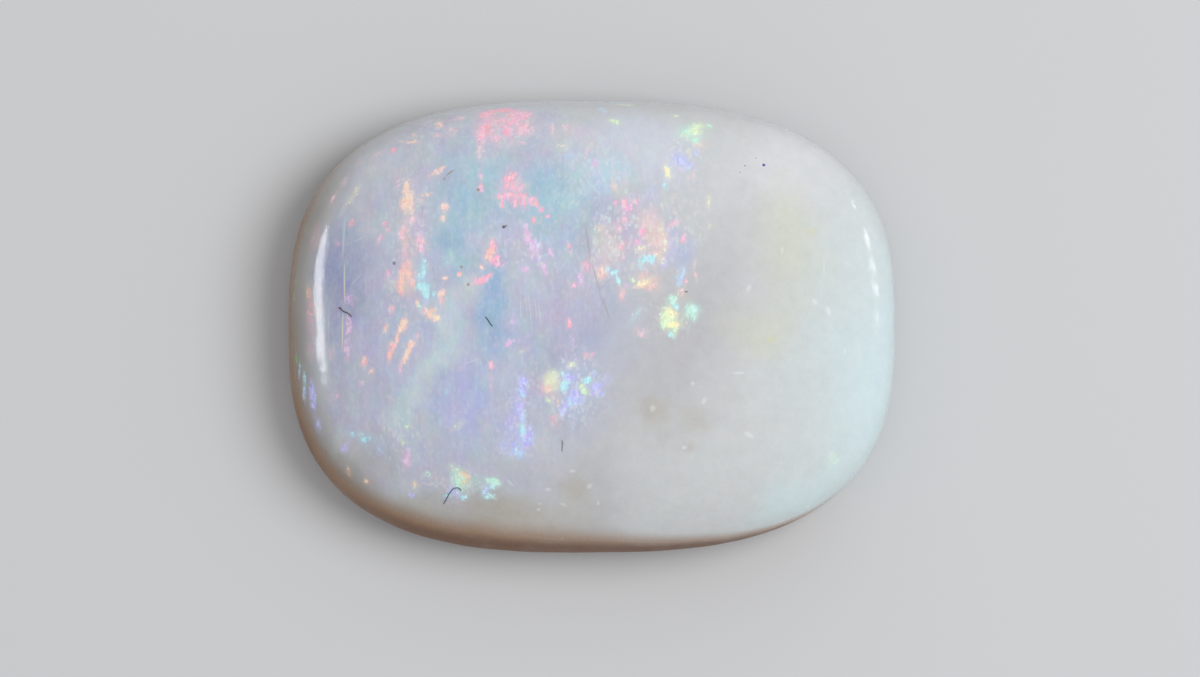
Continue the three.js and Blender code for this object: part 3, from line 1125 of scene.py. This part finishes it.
# Thin lines and spots, drawn last and not broken up
LINES = (
    ("foam", -6.52, 2.35, 0.05, 0.9, 2, 0.6),
    ("cream", -6.5, 1.15, 0.035, 0.75, 0, 0.5),
    ("cream", -6.55, -0.05, 0.035, 0.8, 2, 0.5),
    ("foam", -6.92, 0.0, 0.04, 0.75, 0, 0.4),
    ("foam", -5.94, 1.1, 0.03, 0.5, 0, 0.35),
    ("snow", -1.86, 0.5, 0.018, 0.5, -3, 0.3),
    ("snow", -1.72, 0.62, 0.016, 0.45, -4, 0.3),
    ("snow", -1.62, 0.45, 0.018, 0.55, -6, 0.34),
    ("snow", -1.47, 0.5, 0.016, 0.45, -7, 0.28),
    ("snow", -1.36, 0.3, 0.018, 0.4, -8, 0.3),
    ("snow", -6.1, 2.3, 0.024, 0.26, 68, 0.25),
    ("snow", -6.22, 1.2, 0.024, 0.26, 45, 0.25),
    ("snow", -3.15, -0.92, 0.03, 0.325, 72, 0.22),
    ("snow", -2.13, -4.12, 0.03, 0.182, -42, 0.37),
    ("snow", 3.85, -1.22, 0.045, 0.234, 88, 0.31),
    ("snow", 2.65, -1.5, 0.075, 0.078, 0, 0.31),
    ("snow", 1.6, -2.15, 0.105, 0.13, 0, 0.31),
    ("snow", 2.95, -1.95, 0.09, 0.156, 30, 0.28),
    ("snow", 2.43, -3.18, 0.105, 0.078, 0, 0.37),
    ("snow", 4.12, -2.85, 0.09, 0.208, -60, 0.34),
    ("snow", 6.22, 0.4, 0.09, 0.195, -20, 0.37),
    ("snow", 5.86, 0.65, 0.09, 0.13, -40, 0.31),
    ("snow", 4.12, 1, 0.09, 0.156, 25, 0.31),
    ("snow", 5, 2, 0.06, 0.13, 0, 0.25),
    ("snow", 6.65, -0.65, 0.06, 0.13, 0, 0.25),
    ("snow", 6.1, 1.55, 0.02, 0.35, 0, 0.3),
    ("snow", -1.15, -4.28, 0.12, 0.078, 0, 0.31),
    ("snow", -0.06, -4.2, 0.09, 0.13, 40, 0.28),
    ("snow", -1.4, -4.82, 0.075, 0.078, 0, 0.31),
    ("snow", -0.74, -4.68, 0.06, 0.156, -70, 0.25),
    ("snow", -0.5, -3.8, 0.105, 0.065, 0, 0.31),
    ("snow", 0.17, -4.64, 0.06, 0.104, 0, 0.31),
    ("snow", -1.37, -4.66, 0.075, 0.065, 0, 0.22),
    ("rust", -3.72, 4.04, 0.035, 0.2, 52, 0.7),
    ("rust", -3.87, 3.88, 0.04, 0.06, 30, 0.6),
    ("rust", -2.98, 3.59, 0.06, 0.06, 0, 0.8),
    ("rust", -3.42, 1.56, 0.06, 0.05, 0, 0.7),
    ("rust", -3.24, 1.1, 0.05, 0.06, 0, 0.8),
    ("rust", -0.1, 2.2, 0.03, 0.7, -8, 0.3),
    ("rust", 0.12, 1.25, 0.03, 0.5, -16, 0.32),
    ("rust", 0.36, 0.5, 0.03, 0.45, -22, 0.3),
    ("rust", -7.0, -3.31, 0.05, 0.05, 0, 0.9),
    ("soot", -2.31, 2.61, 0.065, 0.06, 0, 0.9),
    ("soot", -2.25, 2.64, 0.04, 0.04, 0, 0.6),
    ("soot", -5.19, 1.66, 0.065, 0.075, 0, 0.6),
    ("soot", 2.48, 0.91, 0.06, 0.028, 0, 0.85),
    ("ink", 4.52, 4.24, 0.06, 0.055, 0, 1.0),
    ("ink", 4.02, 4.22, 0.03, 0.03, 0, 0.7),
    ("ink", 4.31, 4.42, 0.025, 0.025, 0, 0.6),
    ("soot", 3.89, 4.05, 0.028, 0.028, 0, 0.5),
)

def opaque(colours, name):
    """A colour of the stone, with an alpha of 1."""
    return (*getattr(colours, name), 1.0)


def mask(tree, name):
    """A mask that the mesh carries."""
    return add(tree, "ShaderNodeAttribute", attribute_name=name).outputs["Fac"]


def small_marks(tree, shape, colours, base, place):
    """Thin lines and spots over a base colour, each in its own colour."""
    group = mark_group()
    for name, x, y, half_width, half_length, lean, strength in LINES:
        across, up = unroll(shape, np.array(x * MM), np.array(y * MM))
        inputs = {
            "Place": place,
            "Middle": (float(across), float(up), 0),
            "Turn": (0, 0, -math.radians(lean)),
            "Half Size": (half_width, half_length, 1),
            "Strength": strength,
            "Under": base,
            "Mark": opaque(colours, name),
        }
        base = use_group(tree, group, inputs)["Colour"]
    return base


# Lively half of the face, where the ground is mottled and brushed: ovals as in the tables above
LIVELY = (
    (-2.6, 3.2, 6.2, 4.4, 0, 1.0),
    (-4.2, -0.7, 5.2, 4.9, 0, 1.0),
)


# Textures of the stone, in waves to the millimetre, and how strongly each one shows
MOTTLE_SCALE = (2.2, 1.4, 2.2)
MOTTLE_STRENGTH = 0.1
HAZE_SCALE = 2.6
HAZE_STRENGTH = 0.06
BRUSH_SCALE = (7.0, 0.55, 3.0)
BRUSH_PALE = 0.2
BRUSH_DIM = 0.11
GRAIN_SCALE = (24.0, 14.0, 24.0)
GRAIN_BEND = (0.07, 0.11, 0.07)
CELL_SCALE = (15.0, 9.0, 15.0)
CELL_BREAK = 0.7
GRAIN_BREAK = 0.5
SPARK_SATURATION = 0.2
SPARK_VALUE = 0.93
SPARK_CROWDED = 0.3
SPARK_LIVELY = 0.1
SPARK_PLAIN = 0.025
FLECK_WHITENESS = 0.35
ROCK_GRAIN_SCALE = 12.0
ROCK_CLOUD_SCALE = 1.3
BACK_PATCH_SCALE = 0.35
SMUDGE_SCALE = 0.9
HAIRLINE_SCALE = (26.0, 1.5, 10.0)
LAP_SCALE = (1.2, 16.0, 1.0)
DIMPLE_SCALE = 3.6

# Roughness of the clean polish, and what smudges, hairlines, flank, stain and back add to it
POLISH = 0.06
SMUDGE_ROUGH = 0.1
HAIRLINE_ROUGH = 0.08
FLANK_ROUGH = 0.16
STAIN_ROUGH = 0.25
BACK_ROUGH = 0.3

# Shares of hairlines and dimples in the fine relief
HAIRLINE_RELIEF = 0.06
DIMPLE_RELIEF = 0.8


def opal_material(shape, colours):
    """Milky opal: clouds, mottling and crisp flecks under a polish, with painted shade on the left rim and a
    brown stain low on the flank.
    """
    material = bpy.data.materials.new("opal_polish")
    material.use_nodes = True
    tree = material.node_tree
    tree.nodes.clear()
    metres = add(tree, "ShaderNodeTexCoord").outputs["Object"]
    solid = stretched(tree, metres, (1 / MM, 1 / MM, 1 / MM))
    body = add(tree, "ShaderNodeAttribute", attribute_name="cloud").outputs["Color"]
    lively = mask(tree, "lively")
    mottle = noise(tree, stretched(tree, solid, MOTTLE_SCALE), 1.0, 3.0, 0.65).outputs
    mottled = maths(tree, "MULTIPLY", lively, MOTTLE_STRENGTH)
    body = blend(tree, mottled, body, mottle["Color"], "LINEAR_LIGHT")
    haze = noise(tree, solid, HAZE_SCALE, 4.0, 0.75).outputs["Fac"]
    body = blend(tree, HAZE_STRENGTH, body, haze, "LINEAR_LIGHT")
    brush = noise(tree, stretched(tree, solid, BRUSH_SCALE), 1.0, 3.0, 0.6).outputs["Fac"]
    pale = maths(tree, "MULTIPLY", ramp(tree, brush, 0.5, 0.72, 0.0, BRUSH_PALE), lively)
    dim = maths(tree, "MULTIPLY", ramp(tree, brush, 0.5, 0.28, 0.0, BRUSH_DIM), lively)
    body = blend(tree, pale, body, opaque(colours, "pearl"))
    body = blend(tree, dim, body, opaque(colours, "dusk"))

    grain = noise(tree, stretched(tree, solid, GRAIN_SCALE), 1.0, 2.0, 0.6)
    bent = vector_maths(tree, "MULTIPLY_ADD", grain.outputs["Color"], GRAIN_BEND, solid)
    inputs = {"Vector": stretched(tree, bent, CELL_SCALE), "Scale": 1.0}
    cells = add(tree, "ShaderNodeTexVoronoi", inputs).outputs["Color"]
    split = add(tree, "ShaderNodeSeparateColor", {"Color": cells}).outputs
    ragged_grain = ramp(tree, grain.outputs["Fac"], 0.3, 0.7)
    ragged = maths(tree, "MULTIPLY", ragged_grain, GRAIN_BREAK)
    break_up = maths(tree, "MULTIPLY_ADD", split[0], CELL_BREAK, ragged)
    inputs = {"Red": split[1], "Green": SPARK_SATURATION, "Blue": SPARK_VALUE}
    spark = add(tree, "ShaderNodeCombineColor", inputs, mode="HSV").outputs[0]
    scattered = maths(tree, "MULTIPLY", lively, SPARK_LIVELY)
    crowd = maths(tree, "MULTIPLY_ADD", mask(tree, "sparkling"), SPARK_CROWDED, scattered)
    crowd = maths(tree, "ADD", crowd, SPARK_PLAIN)
    sparse = maths(tree, "MULTIPLY", ramp(tree, split[2], 0.5, 1.0), crowd)
    body = blend(tree, sparse, body, spark)
    # Painted shade: a dim taupe over the left rim, where the shoulder turns away from the light
    body = blend(tree, mask(tree, "shade"), body, opaque(colours, "taupe"))
    flecks = fleck_group()
    for name in FLECKS:
        inputs = {
            "Under": body,
            "Fleck": opaque(colours, name),
            "Cover": mask(tree, "fleck_" + name),
            "Break-up": break_up,
            "Hue Shift": split[1],
            "Whiteness": maths(tree, "MULTIPLY", split[2], FLECK_WHITENESS),
        }
        body = use_group(tree, flecks, inputs)["Colour"]

    place = add(tree, "ShaderNodeAttribute", attribute_name="rolled_out").outputs["Vector"]
    body = small_marks(tree, shape, colours, body, place)

    stain = mask(tree, "stain")
    rock_grain = noise(tree, solid, ROCK_GRAIN_SCALE, 2.0, 0.6).outputs["Fac"]
    rock_cloud = noise(tree, solid, ROCK_CLOUD_SCALE, 2.0, 0.6).outputs["Fac"]
    grainy = ramp(tree, rock_grain, 0.15, 0.7, 1.0, 0.7)
    depth = maths(tree, "MULTIPLY", ramp(tree, stain, 0.6, 1.0), grainy)
    rock_colour = blend(tree, depth, opaque(colours, "host"), opaque(colours, "host_dark"))
    soaked = maths(tree, "MULTIPLY", stain, ramp(tree, rock_cloud, 0.1, 0.6, 0.85, 1.0))
    body = blend(tree, soaked, body, rock_colour)

    underside = mask(tree, "underside")
    back_patch = noise(tree, solid, BACK_PATCH_SCALE, 3.0, 0.55).outputs["Fac"]
    back_colour = blend(tree, ramp(tree, back_patch, 0.42, 0.6), rock_colour, opaque(colours, "ash"))
    body = blend(tree, underside, body, back_colour)

    flank = mask(tree, "flank")
    smudge = noise(tree, solid, SMUDGE_SCALE, 3.0).outputs["Fac"]
    hairlines = noise(tree, stretched(tree, solid, HAIRLINE_SCALE), 1.0, 2.0).outputs["Fac"]
    polish = maths(tree, "MULTIPLY_ADD", smudge, SMUDGE_ROUGH, POLISH)
    polish = maths(tree, "MULTIPLY_ADD", ramp(tree, hairlines, 0.55, 0.8), HAIRLINE_ROUGH, polish)
    polish = maths(tree, "MULTIPLY_ADD", flank, FLANK_ROUGH, polish)
    polish = maths(tree, "MULTIPLY_ADD", stain, STAIN_ROUGH, polish)
    rough = maths(tree, "MULTIPLY_ADD", underside, BACK_ROUGH, polish)

    lap = noise(tree, stretched(tree, solid, LAP_SCALE), 1.0, 3.0).outputs["Fac"]
    lap_height = maths(tree, "MULTIPLY", lap, underside)
    pits = maths(tree, "MULTIPLY", rock_grain, maths(tree, "MAXIMUM", stain, underside))
    dimples = noise(tree, solid, DIMPLE_SCALE, 2.0, 0.6).outputs["Fac"]
    dimpled = maths(tree, "MULTIPLY", dimples, DIMPLE_RELIEF)
    hand_work = maths(tree, "MULTIPLY_ADD", hairlines, HAIRLINE_RELIEF, dimpled)
    relief = maths(tree, "ADD", hand_work, maths(tree, "ADD", lap_height, pits))
    bump = add(tree, "ShaderNodeBump", {"Height": relief, "Strength": 0.35, "Distance": 0.02 * MM})

    surface = add(
        tree,
        "ShaderNodeBsdfPrincipled",
        {
            "Base Color": body,
            "Roughness": rough,
            "IOR": 1.45,
            "Subsurface Weight": 0.6,
            "Subsurface Radius": (1.0, 0.8, 0.6),
            "Subsurface Scale": 0.5 * MM,
            "Normal": bump.outputs["Normal"],
        },
    )
    output = add(tree, "ShaderNodeOutputMaterial")
    tree.links.new(surface.outputs["BSDF"], output.inputs["Surface"])
    return material


# Lint and dust on the face, in millimetres as seen from above.
# Each fibre has listed points, a radius and a colour; each grain has a middle, a radius and a colour.
FIBRES = (
    (
        ((-6.68, 0.5), (-6.6, 0.47), (-6.52, 0.4), (-6.42, 0.36), (-6.34, 0.3), (-6.32, 0.24)),
        0.011,
        "lint_red",
    ),
    (((-2.79, 0.27), (-2.73, 0.19), (-2.66, 0.08), (-2.59, 0.0)), 0.011, "lint_dark"),
    (
        (
            (-3.91, -4.68),
            (-3.84, -4.58),
            (-3.76, -4.42),
            (-3.66, -4.29),
            (-3.56, -4.24),
            (-3.47, -4.26),
            (-3.42, -4.33),
        ),
        0.012,
        "lint_blue",
    ),
    (((-0.775, -2.98), (-0.765, -3.08), (-0.775, -3.18), (-0.77, -3.28)), 0.011, "lint_grey"),
)
GRAINS = (
    ((-6.62, 0.49), 0.024, "lint_red"),
    ((-6.52, 0.4), 0.02, "lint_red"),
    ((-2.74, 0.2), 0.016, "lint_dark"),
)
FIBRE_STEPS = 24
FIBRE_SIDES = 8
GRAIN_RINGS = 8

# How far lint is lifted off the face, as a share of its radius
FIBRE_LIFT = 0.7
GRAIN_LIFT = 0.5


def smooth_path(knots, steps):
    """A smooth path through points: a cubic between each two, aimed along the points on either side."""
    knots = np.array(knots)
    ends = np.concatenate([2 * knots[:1] - knots[1:2], knots, 2 * knots[-1:] - knots[-2:-1]])
    spot = np.linspace(0, len(knots) - 1, steps)
    first = np.minimum(spot.astype(int), len(knots) - 2)
    t = (spot - first)[:, None]
    before, start, end, after = (ends[first + i] for i in range(4))
    bend = 2 * before - 5 * start + 4 * end - after
    twist = 3 * (start - end) + after - before
    return start + t * ((end - before) + t * (bend + t * twist)) / 2


def tube(path, radius):
    """A tube round a path: circles square to it that shrink to a point at both ends, as a grid of points."""
    forward = np.gradient(path, axis=0)
    forward /= np.linalg.norm(forward, axis=1, keepdims=True)
    side = np.cross(forward, (0, 0, 1.0))
    side /= np.linalg.norm(side, axis=1, keepdims=True)
    up = np.cross(side, forward)
    turn_round = np.arange(FIBRE_SIDES) * 2 * np.pi / FIBRE_SIDES
    taper = radius * np.minimum(1, 4 * np.sin(np.linspace(0.02, np.pi - 0.02, len(path))))
    sideways = np.cos(turn_round)[None, :, None] * side[:, None]
    ring = sideways + np.sin(turn_round)[None, :, None] * up[:, None]
    return path[:, None] + taper[:, None, None] * ring


def ball(middle, radius):
    """A small lump: circles of latitude round a middle, as a grid of points."""
    latitude = np.linspace(-1.5, 1.5, GRAIN_RINGS)[:, None]
    turn_round = (np.arange(FIBRE_SIDES) * 2 * np.pi / FIBRE_SIDES)[None, :]
    across = np.cos(latitude) * np.ones_like(turn_round)
    level = np.sin(latitude) * np.ones_like(turn_round)
    lump = np.stack([across * np.cos(turn_round), across * np.sin(turn_round), level], axis=2)
    return np.array(middle) + radius * lump


def grid_quads(rings, sides, first):
    """Quads of a grid that closes round its sides, as rows of vertex numbers from a first one on."""
    ring = np.arange(rings - 1)[:, None] * sides
    around = np.arange(sides)
    following = (around + 1) % sides
    corners = [ring + around, ring + following, ring + sides + following, ring + sides + around]
    return (first + np.stack(corners, axis=2)).reshape(-1, 4)


def on_face(shape, spots, lift):
    """Points seen from above, in millimetres, laid on the crown and lifted off it."""
    flat = np.array(spots) * MM
    return np.concatenate([flat, face_height(shape, flat[:, 0], flat[:, 1])[:, None] + lift], axis=1)


def lint_mesh(shape, colours):
    """All the lint as one mesh, with each fibre's colour as an attribute."""
    grids = []
    shades = []
    for knots, radius, shade in FIBRES:
        path = on_face(shape, smooth_path(knots, FIBRE_STEPS), FIBRE_LIFT * radius * MM)
        grids.append(tube(path, radius * MM))
        shades.append(shade)
    for spot, radius, shade in GRAINS:
        grids.append(ball(on_face(shape, [spot], GRAIN_LIFT * radius * MM)[0], radius * MM))
        shades.append(shade)
    counts = [grid.shape[0] * grid.shape[1] for grid in grids]
    firsts = np.cumsum([0] + counts[:-1])
    quads = np.concatenate([grid_quads(*g.shape[:2], first) for g, first in zip(grids, firsts)])
    mesh = bpy.data.meshes.new("lint_fibres")
    mesh.from_pydata(np.concatenate([grid.reshape(-1, 3) for grid in grids]), [], quads.tolist())
    tint = np.concatenate(
        [np.tile((*getattr(colours, shade), 1.0), (count, 1)) for shade, count in zip(shades, counts)]
    )
    mesh.attributes.new("tint", "FLOAT_COLOR", "POINT").data.foreach_set("color", tint.ravel())
    mesh.shade_smooth()
    return mesh


def lint_material():
    """Matt fibre, in the colour that each fibre carries."""
    material = bpy.data.materials.new("lint")
    material.use_nodes = True
    tree = material.node_tree
    surface = tree.nodes["Principled BSDF"]
    tint = add(tree, "ShaderNodeAttribute", attribute_name="tint")
    tree.links.new(tint.outputs["Color"], surface.inputs["Base Color"])
    surface.inputs["Roughness"].default_value = 0.7
    return material


class OPAL_OT_lay_lint(bpy.types.Operator):
    """Lay the lint and dust on the face"""

    bl_idname = "opal.lay_lint"
    bl_label = "Lay lint"

    def execute(self, context):
        mesh = lint_mesh(context.scene.opal_shape, context.scene.opal_colours)
        lint = bpy.data.objects.new("lint_fibres", mesh)
        context.scene.collection.objects.link(lint)
        mesh.materials.append(lint_material())
        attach(lint, "root")
        return {"FINISHED"}


class OPAL_OT_build_stone(bpy.types.Operator):
    """Build the polished stone in place of its plain solid"""

    bl_idname = "opal.build_stone"
    bl_label = "Build stone"

    def execute(self, context):
        shape = context.scene.opal_shape
        stone = bpy.data.objects.new(NODE + "_polished", stone_mesh(shape, context.scene.opal_colours))
        context.scene.collection.objects.link(stone)
        stone.data.materials.append(opal_material(shape, context.scene.opal_colours))
        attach(stone, "root")
        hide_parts(NODE)
        return {"FINISHED"}


# Stage


# Point that the lights face, and the place, size and roll in degrees of the first two, in metres
LIGHT_TARGET = (0, 0, 2.8 * MM)
KEY_PLACE = (0.13, 0.03, 0.2)
KEY_SIZE = (0.15, 0.15)
LEFT_PLACE = (-0.06, 0.0047, 0.0118)
LEFT_SIZE = (0.033, 0.0085)
LEFT_ROLL = 13

# Half side of the floor in metres, its finish, and the camera's offset from the middle and sensor width
FLOOR_REACH = 2.0
FLOOR_ROUGH = 0.9
FLOOR_SHINE = 0.1
CAMERA_OFFSET = (0.222 * MM, -0.312 * MM)
SENSOR_WIDTH = 36


def soft_light(name, place, size, power, roll=0.0):
    """An oval area light that faces the stone and can't be seen itself. The roll tips its long side."""
    data = bpy.data.lights.new(name, "AREA")
    data.shape = "ELLIPSE"
    data.size, data.size_y = size
    data.energy = power
    light = bpy.data.objects.new(name, data)
    light.location = place
    facing = (Vector(LIGHT_TARGET) - Vector(place)).to_track_quat("-Z", "Y")
    light.rotation_euler = (facing @ Quaternion((0, 0, 1), math.radians(roll))).to_euler()
    light.visible_camera = False
    bpy.context.scene.collection.objects.link(light)
    return light


# Row of low lights on the right, whose highlight is broken into pieces: their distance along X,
# then each one's place along Y and Z, its length and its width, all in millimetres, and its roll in degrees
RIGHT_ROW_DISTANCE = 60
RIGHT_ROW = (
    (34.6, 5.0, 13.0, 4.0, 88),
    (17.8, 5.0, 14.8, 6.2, 107),
    (8.9, 5.6, 13.8, 2.6, 84),
    (2.8, 4.2, 13.0, 3.2, 84),
)


def light_right_row(power):
    """The row of lights on the right, sharing a power by their areas."""
    whole = sum(long * wide for _, _, long, wide, _ in RIGHT_ROW)
    for count, (y, z, long, wide, roll) in enumerate(RIGHT_ROW, 1):
        place = (RIGHT_ROW_DISTANCE * MM, y * MM, z * MM)
        share = power * long * wide / whole
        light = soft_light(f"right_strip_{count}", place, (long * MM, wide * MM), share, roll)
        light.visible_diffuse = False


class OPAL_OT_set_stage(bpy.types.Operator):
    """Set the floor, the lights and the camera"""

    bl_idname = "opal.set_stage"
    bl_label = "Set stage"

    def execute(self, context):
        scene = context.scene
        stage = scene.opal_stage
        reach = FLOOR_REACH
        corners = [(-reach, -reach, 0), (reach, -reach, 0), (reach, reach, 0), (-reach, reach, 0)]
        mesh = bpy.data.meshes.new("floor")
        mesh.from_pydata(corners, [], [(0, 1, 2, 3)])
        floor = bpy.data.objects.new("floor", mesh)
        scene.collection.objects.link(floor)
        material = bpy.data.materials.new("pale_floor")
        material.use_nodes = True
        surface = material.node_tree.nodes["Principled BSDF"]
        surface.inputs["Base Color"].default_value = (*stage.floor_colour, 1)
        surface.inputs["Roughness"].default_value = FLOOR_ROUGH
        surface.inputs["Specular IOR Level"].default_value = FLOOR_SHINE
        mesh.materials.append(material)

        world = bpy.data.worlds.new("even_light")
        world.use_nodes = True
        world.node_tree.nodes["Background"].inputs["Color"].default_value = (1, 1, 1, 1)
        world.node_tree.nodes["Background"].inputs["Strength"].default_value = stage.sky_strength
        scene.world = world
        scene.view_settings.view_transform = "Standard"

        key = soft_light("key", KEY_PLACE, KEY_SIZE, stage.key_power)
        key.visible_glossy = False
        left = soft_light("left_strip", LEFT_PLACE, LEFT_SIZE, stage.left_power, LEFT_ROLL)
        left.visible_diffuse = False
        light_right_row(stage.right_power)

        lens = bpy.data.cameras.new("camera")
        lens.sensor_width = SENSOR_WIDTH
        lens.lens = SENSOR_WIDTH * stage.camera_height / stage.view_width
        lens.clip_end = 10
        camera = bpy.data.objects.new("camera", lens)
        girdle = scene.opal_shape.girdle_height
        camera.location = (*CAMERA_OFFSET, girdle + stage.camera_height)
        scene.collection.objects.link(camera)
        scene.camera = camera
        return {"FINISHED"}


class OPAL_PT_parts(bpy.types.Panel):
    """Lists the opal's parts"""

    bl_idname = "OPAL_PT_parts"
    bl_label = "Opal cabochon"
    bl_space_type = "VIEW_3D"
    bl_region_type = "UI"
    bl_category = "Opal"

    def draw(self, context):
        for operator in OPERATORS:
            self.layout.operator(operator.bl_idname)


GROUPS = {"opal_shape": OpalShape, "opal_colours": OpalColours, "opal_stage": OpalStage}
OPERATORS = (OPAL_OT_set_stage, OPAL_OT_build_stone, OPAL_OT_lay_lint)
CLASSES = (*GROUPS.values(), *OPERATORS, OPAL_PT_parts)


def register():
    """Makes the classes known, and gives every scene their properties."""
    for each in CLASSES:
        bpy.utils.register_class(each)
    for name, group in GROUPS.items():
        setattr(bpy.types.Scene, name, PointerProperty(type=group))


def unregister():
    """Takes back what register did."""
    for name in GROUPS:
        delattr(bpy.types.Scene, name)
    for each in reversed(CLASSES):
        bpy.utils.unregister_class(each)


def main():
    """Builds everything."""
    register()
    bpy.ops.opal.set_stage()
    bpy.ops.opal.build_stone()
    bpy.ops.opal.lay_lint()


if __name__ == "__main__":
    main()
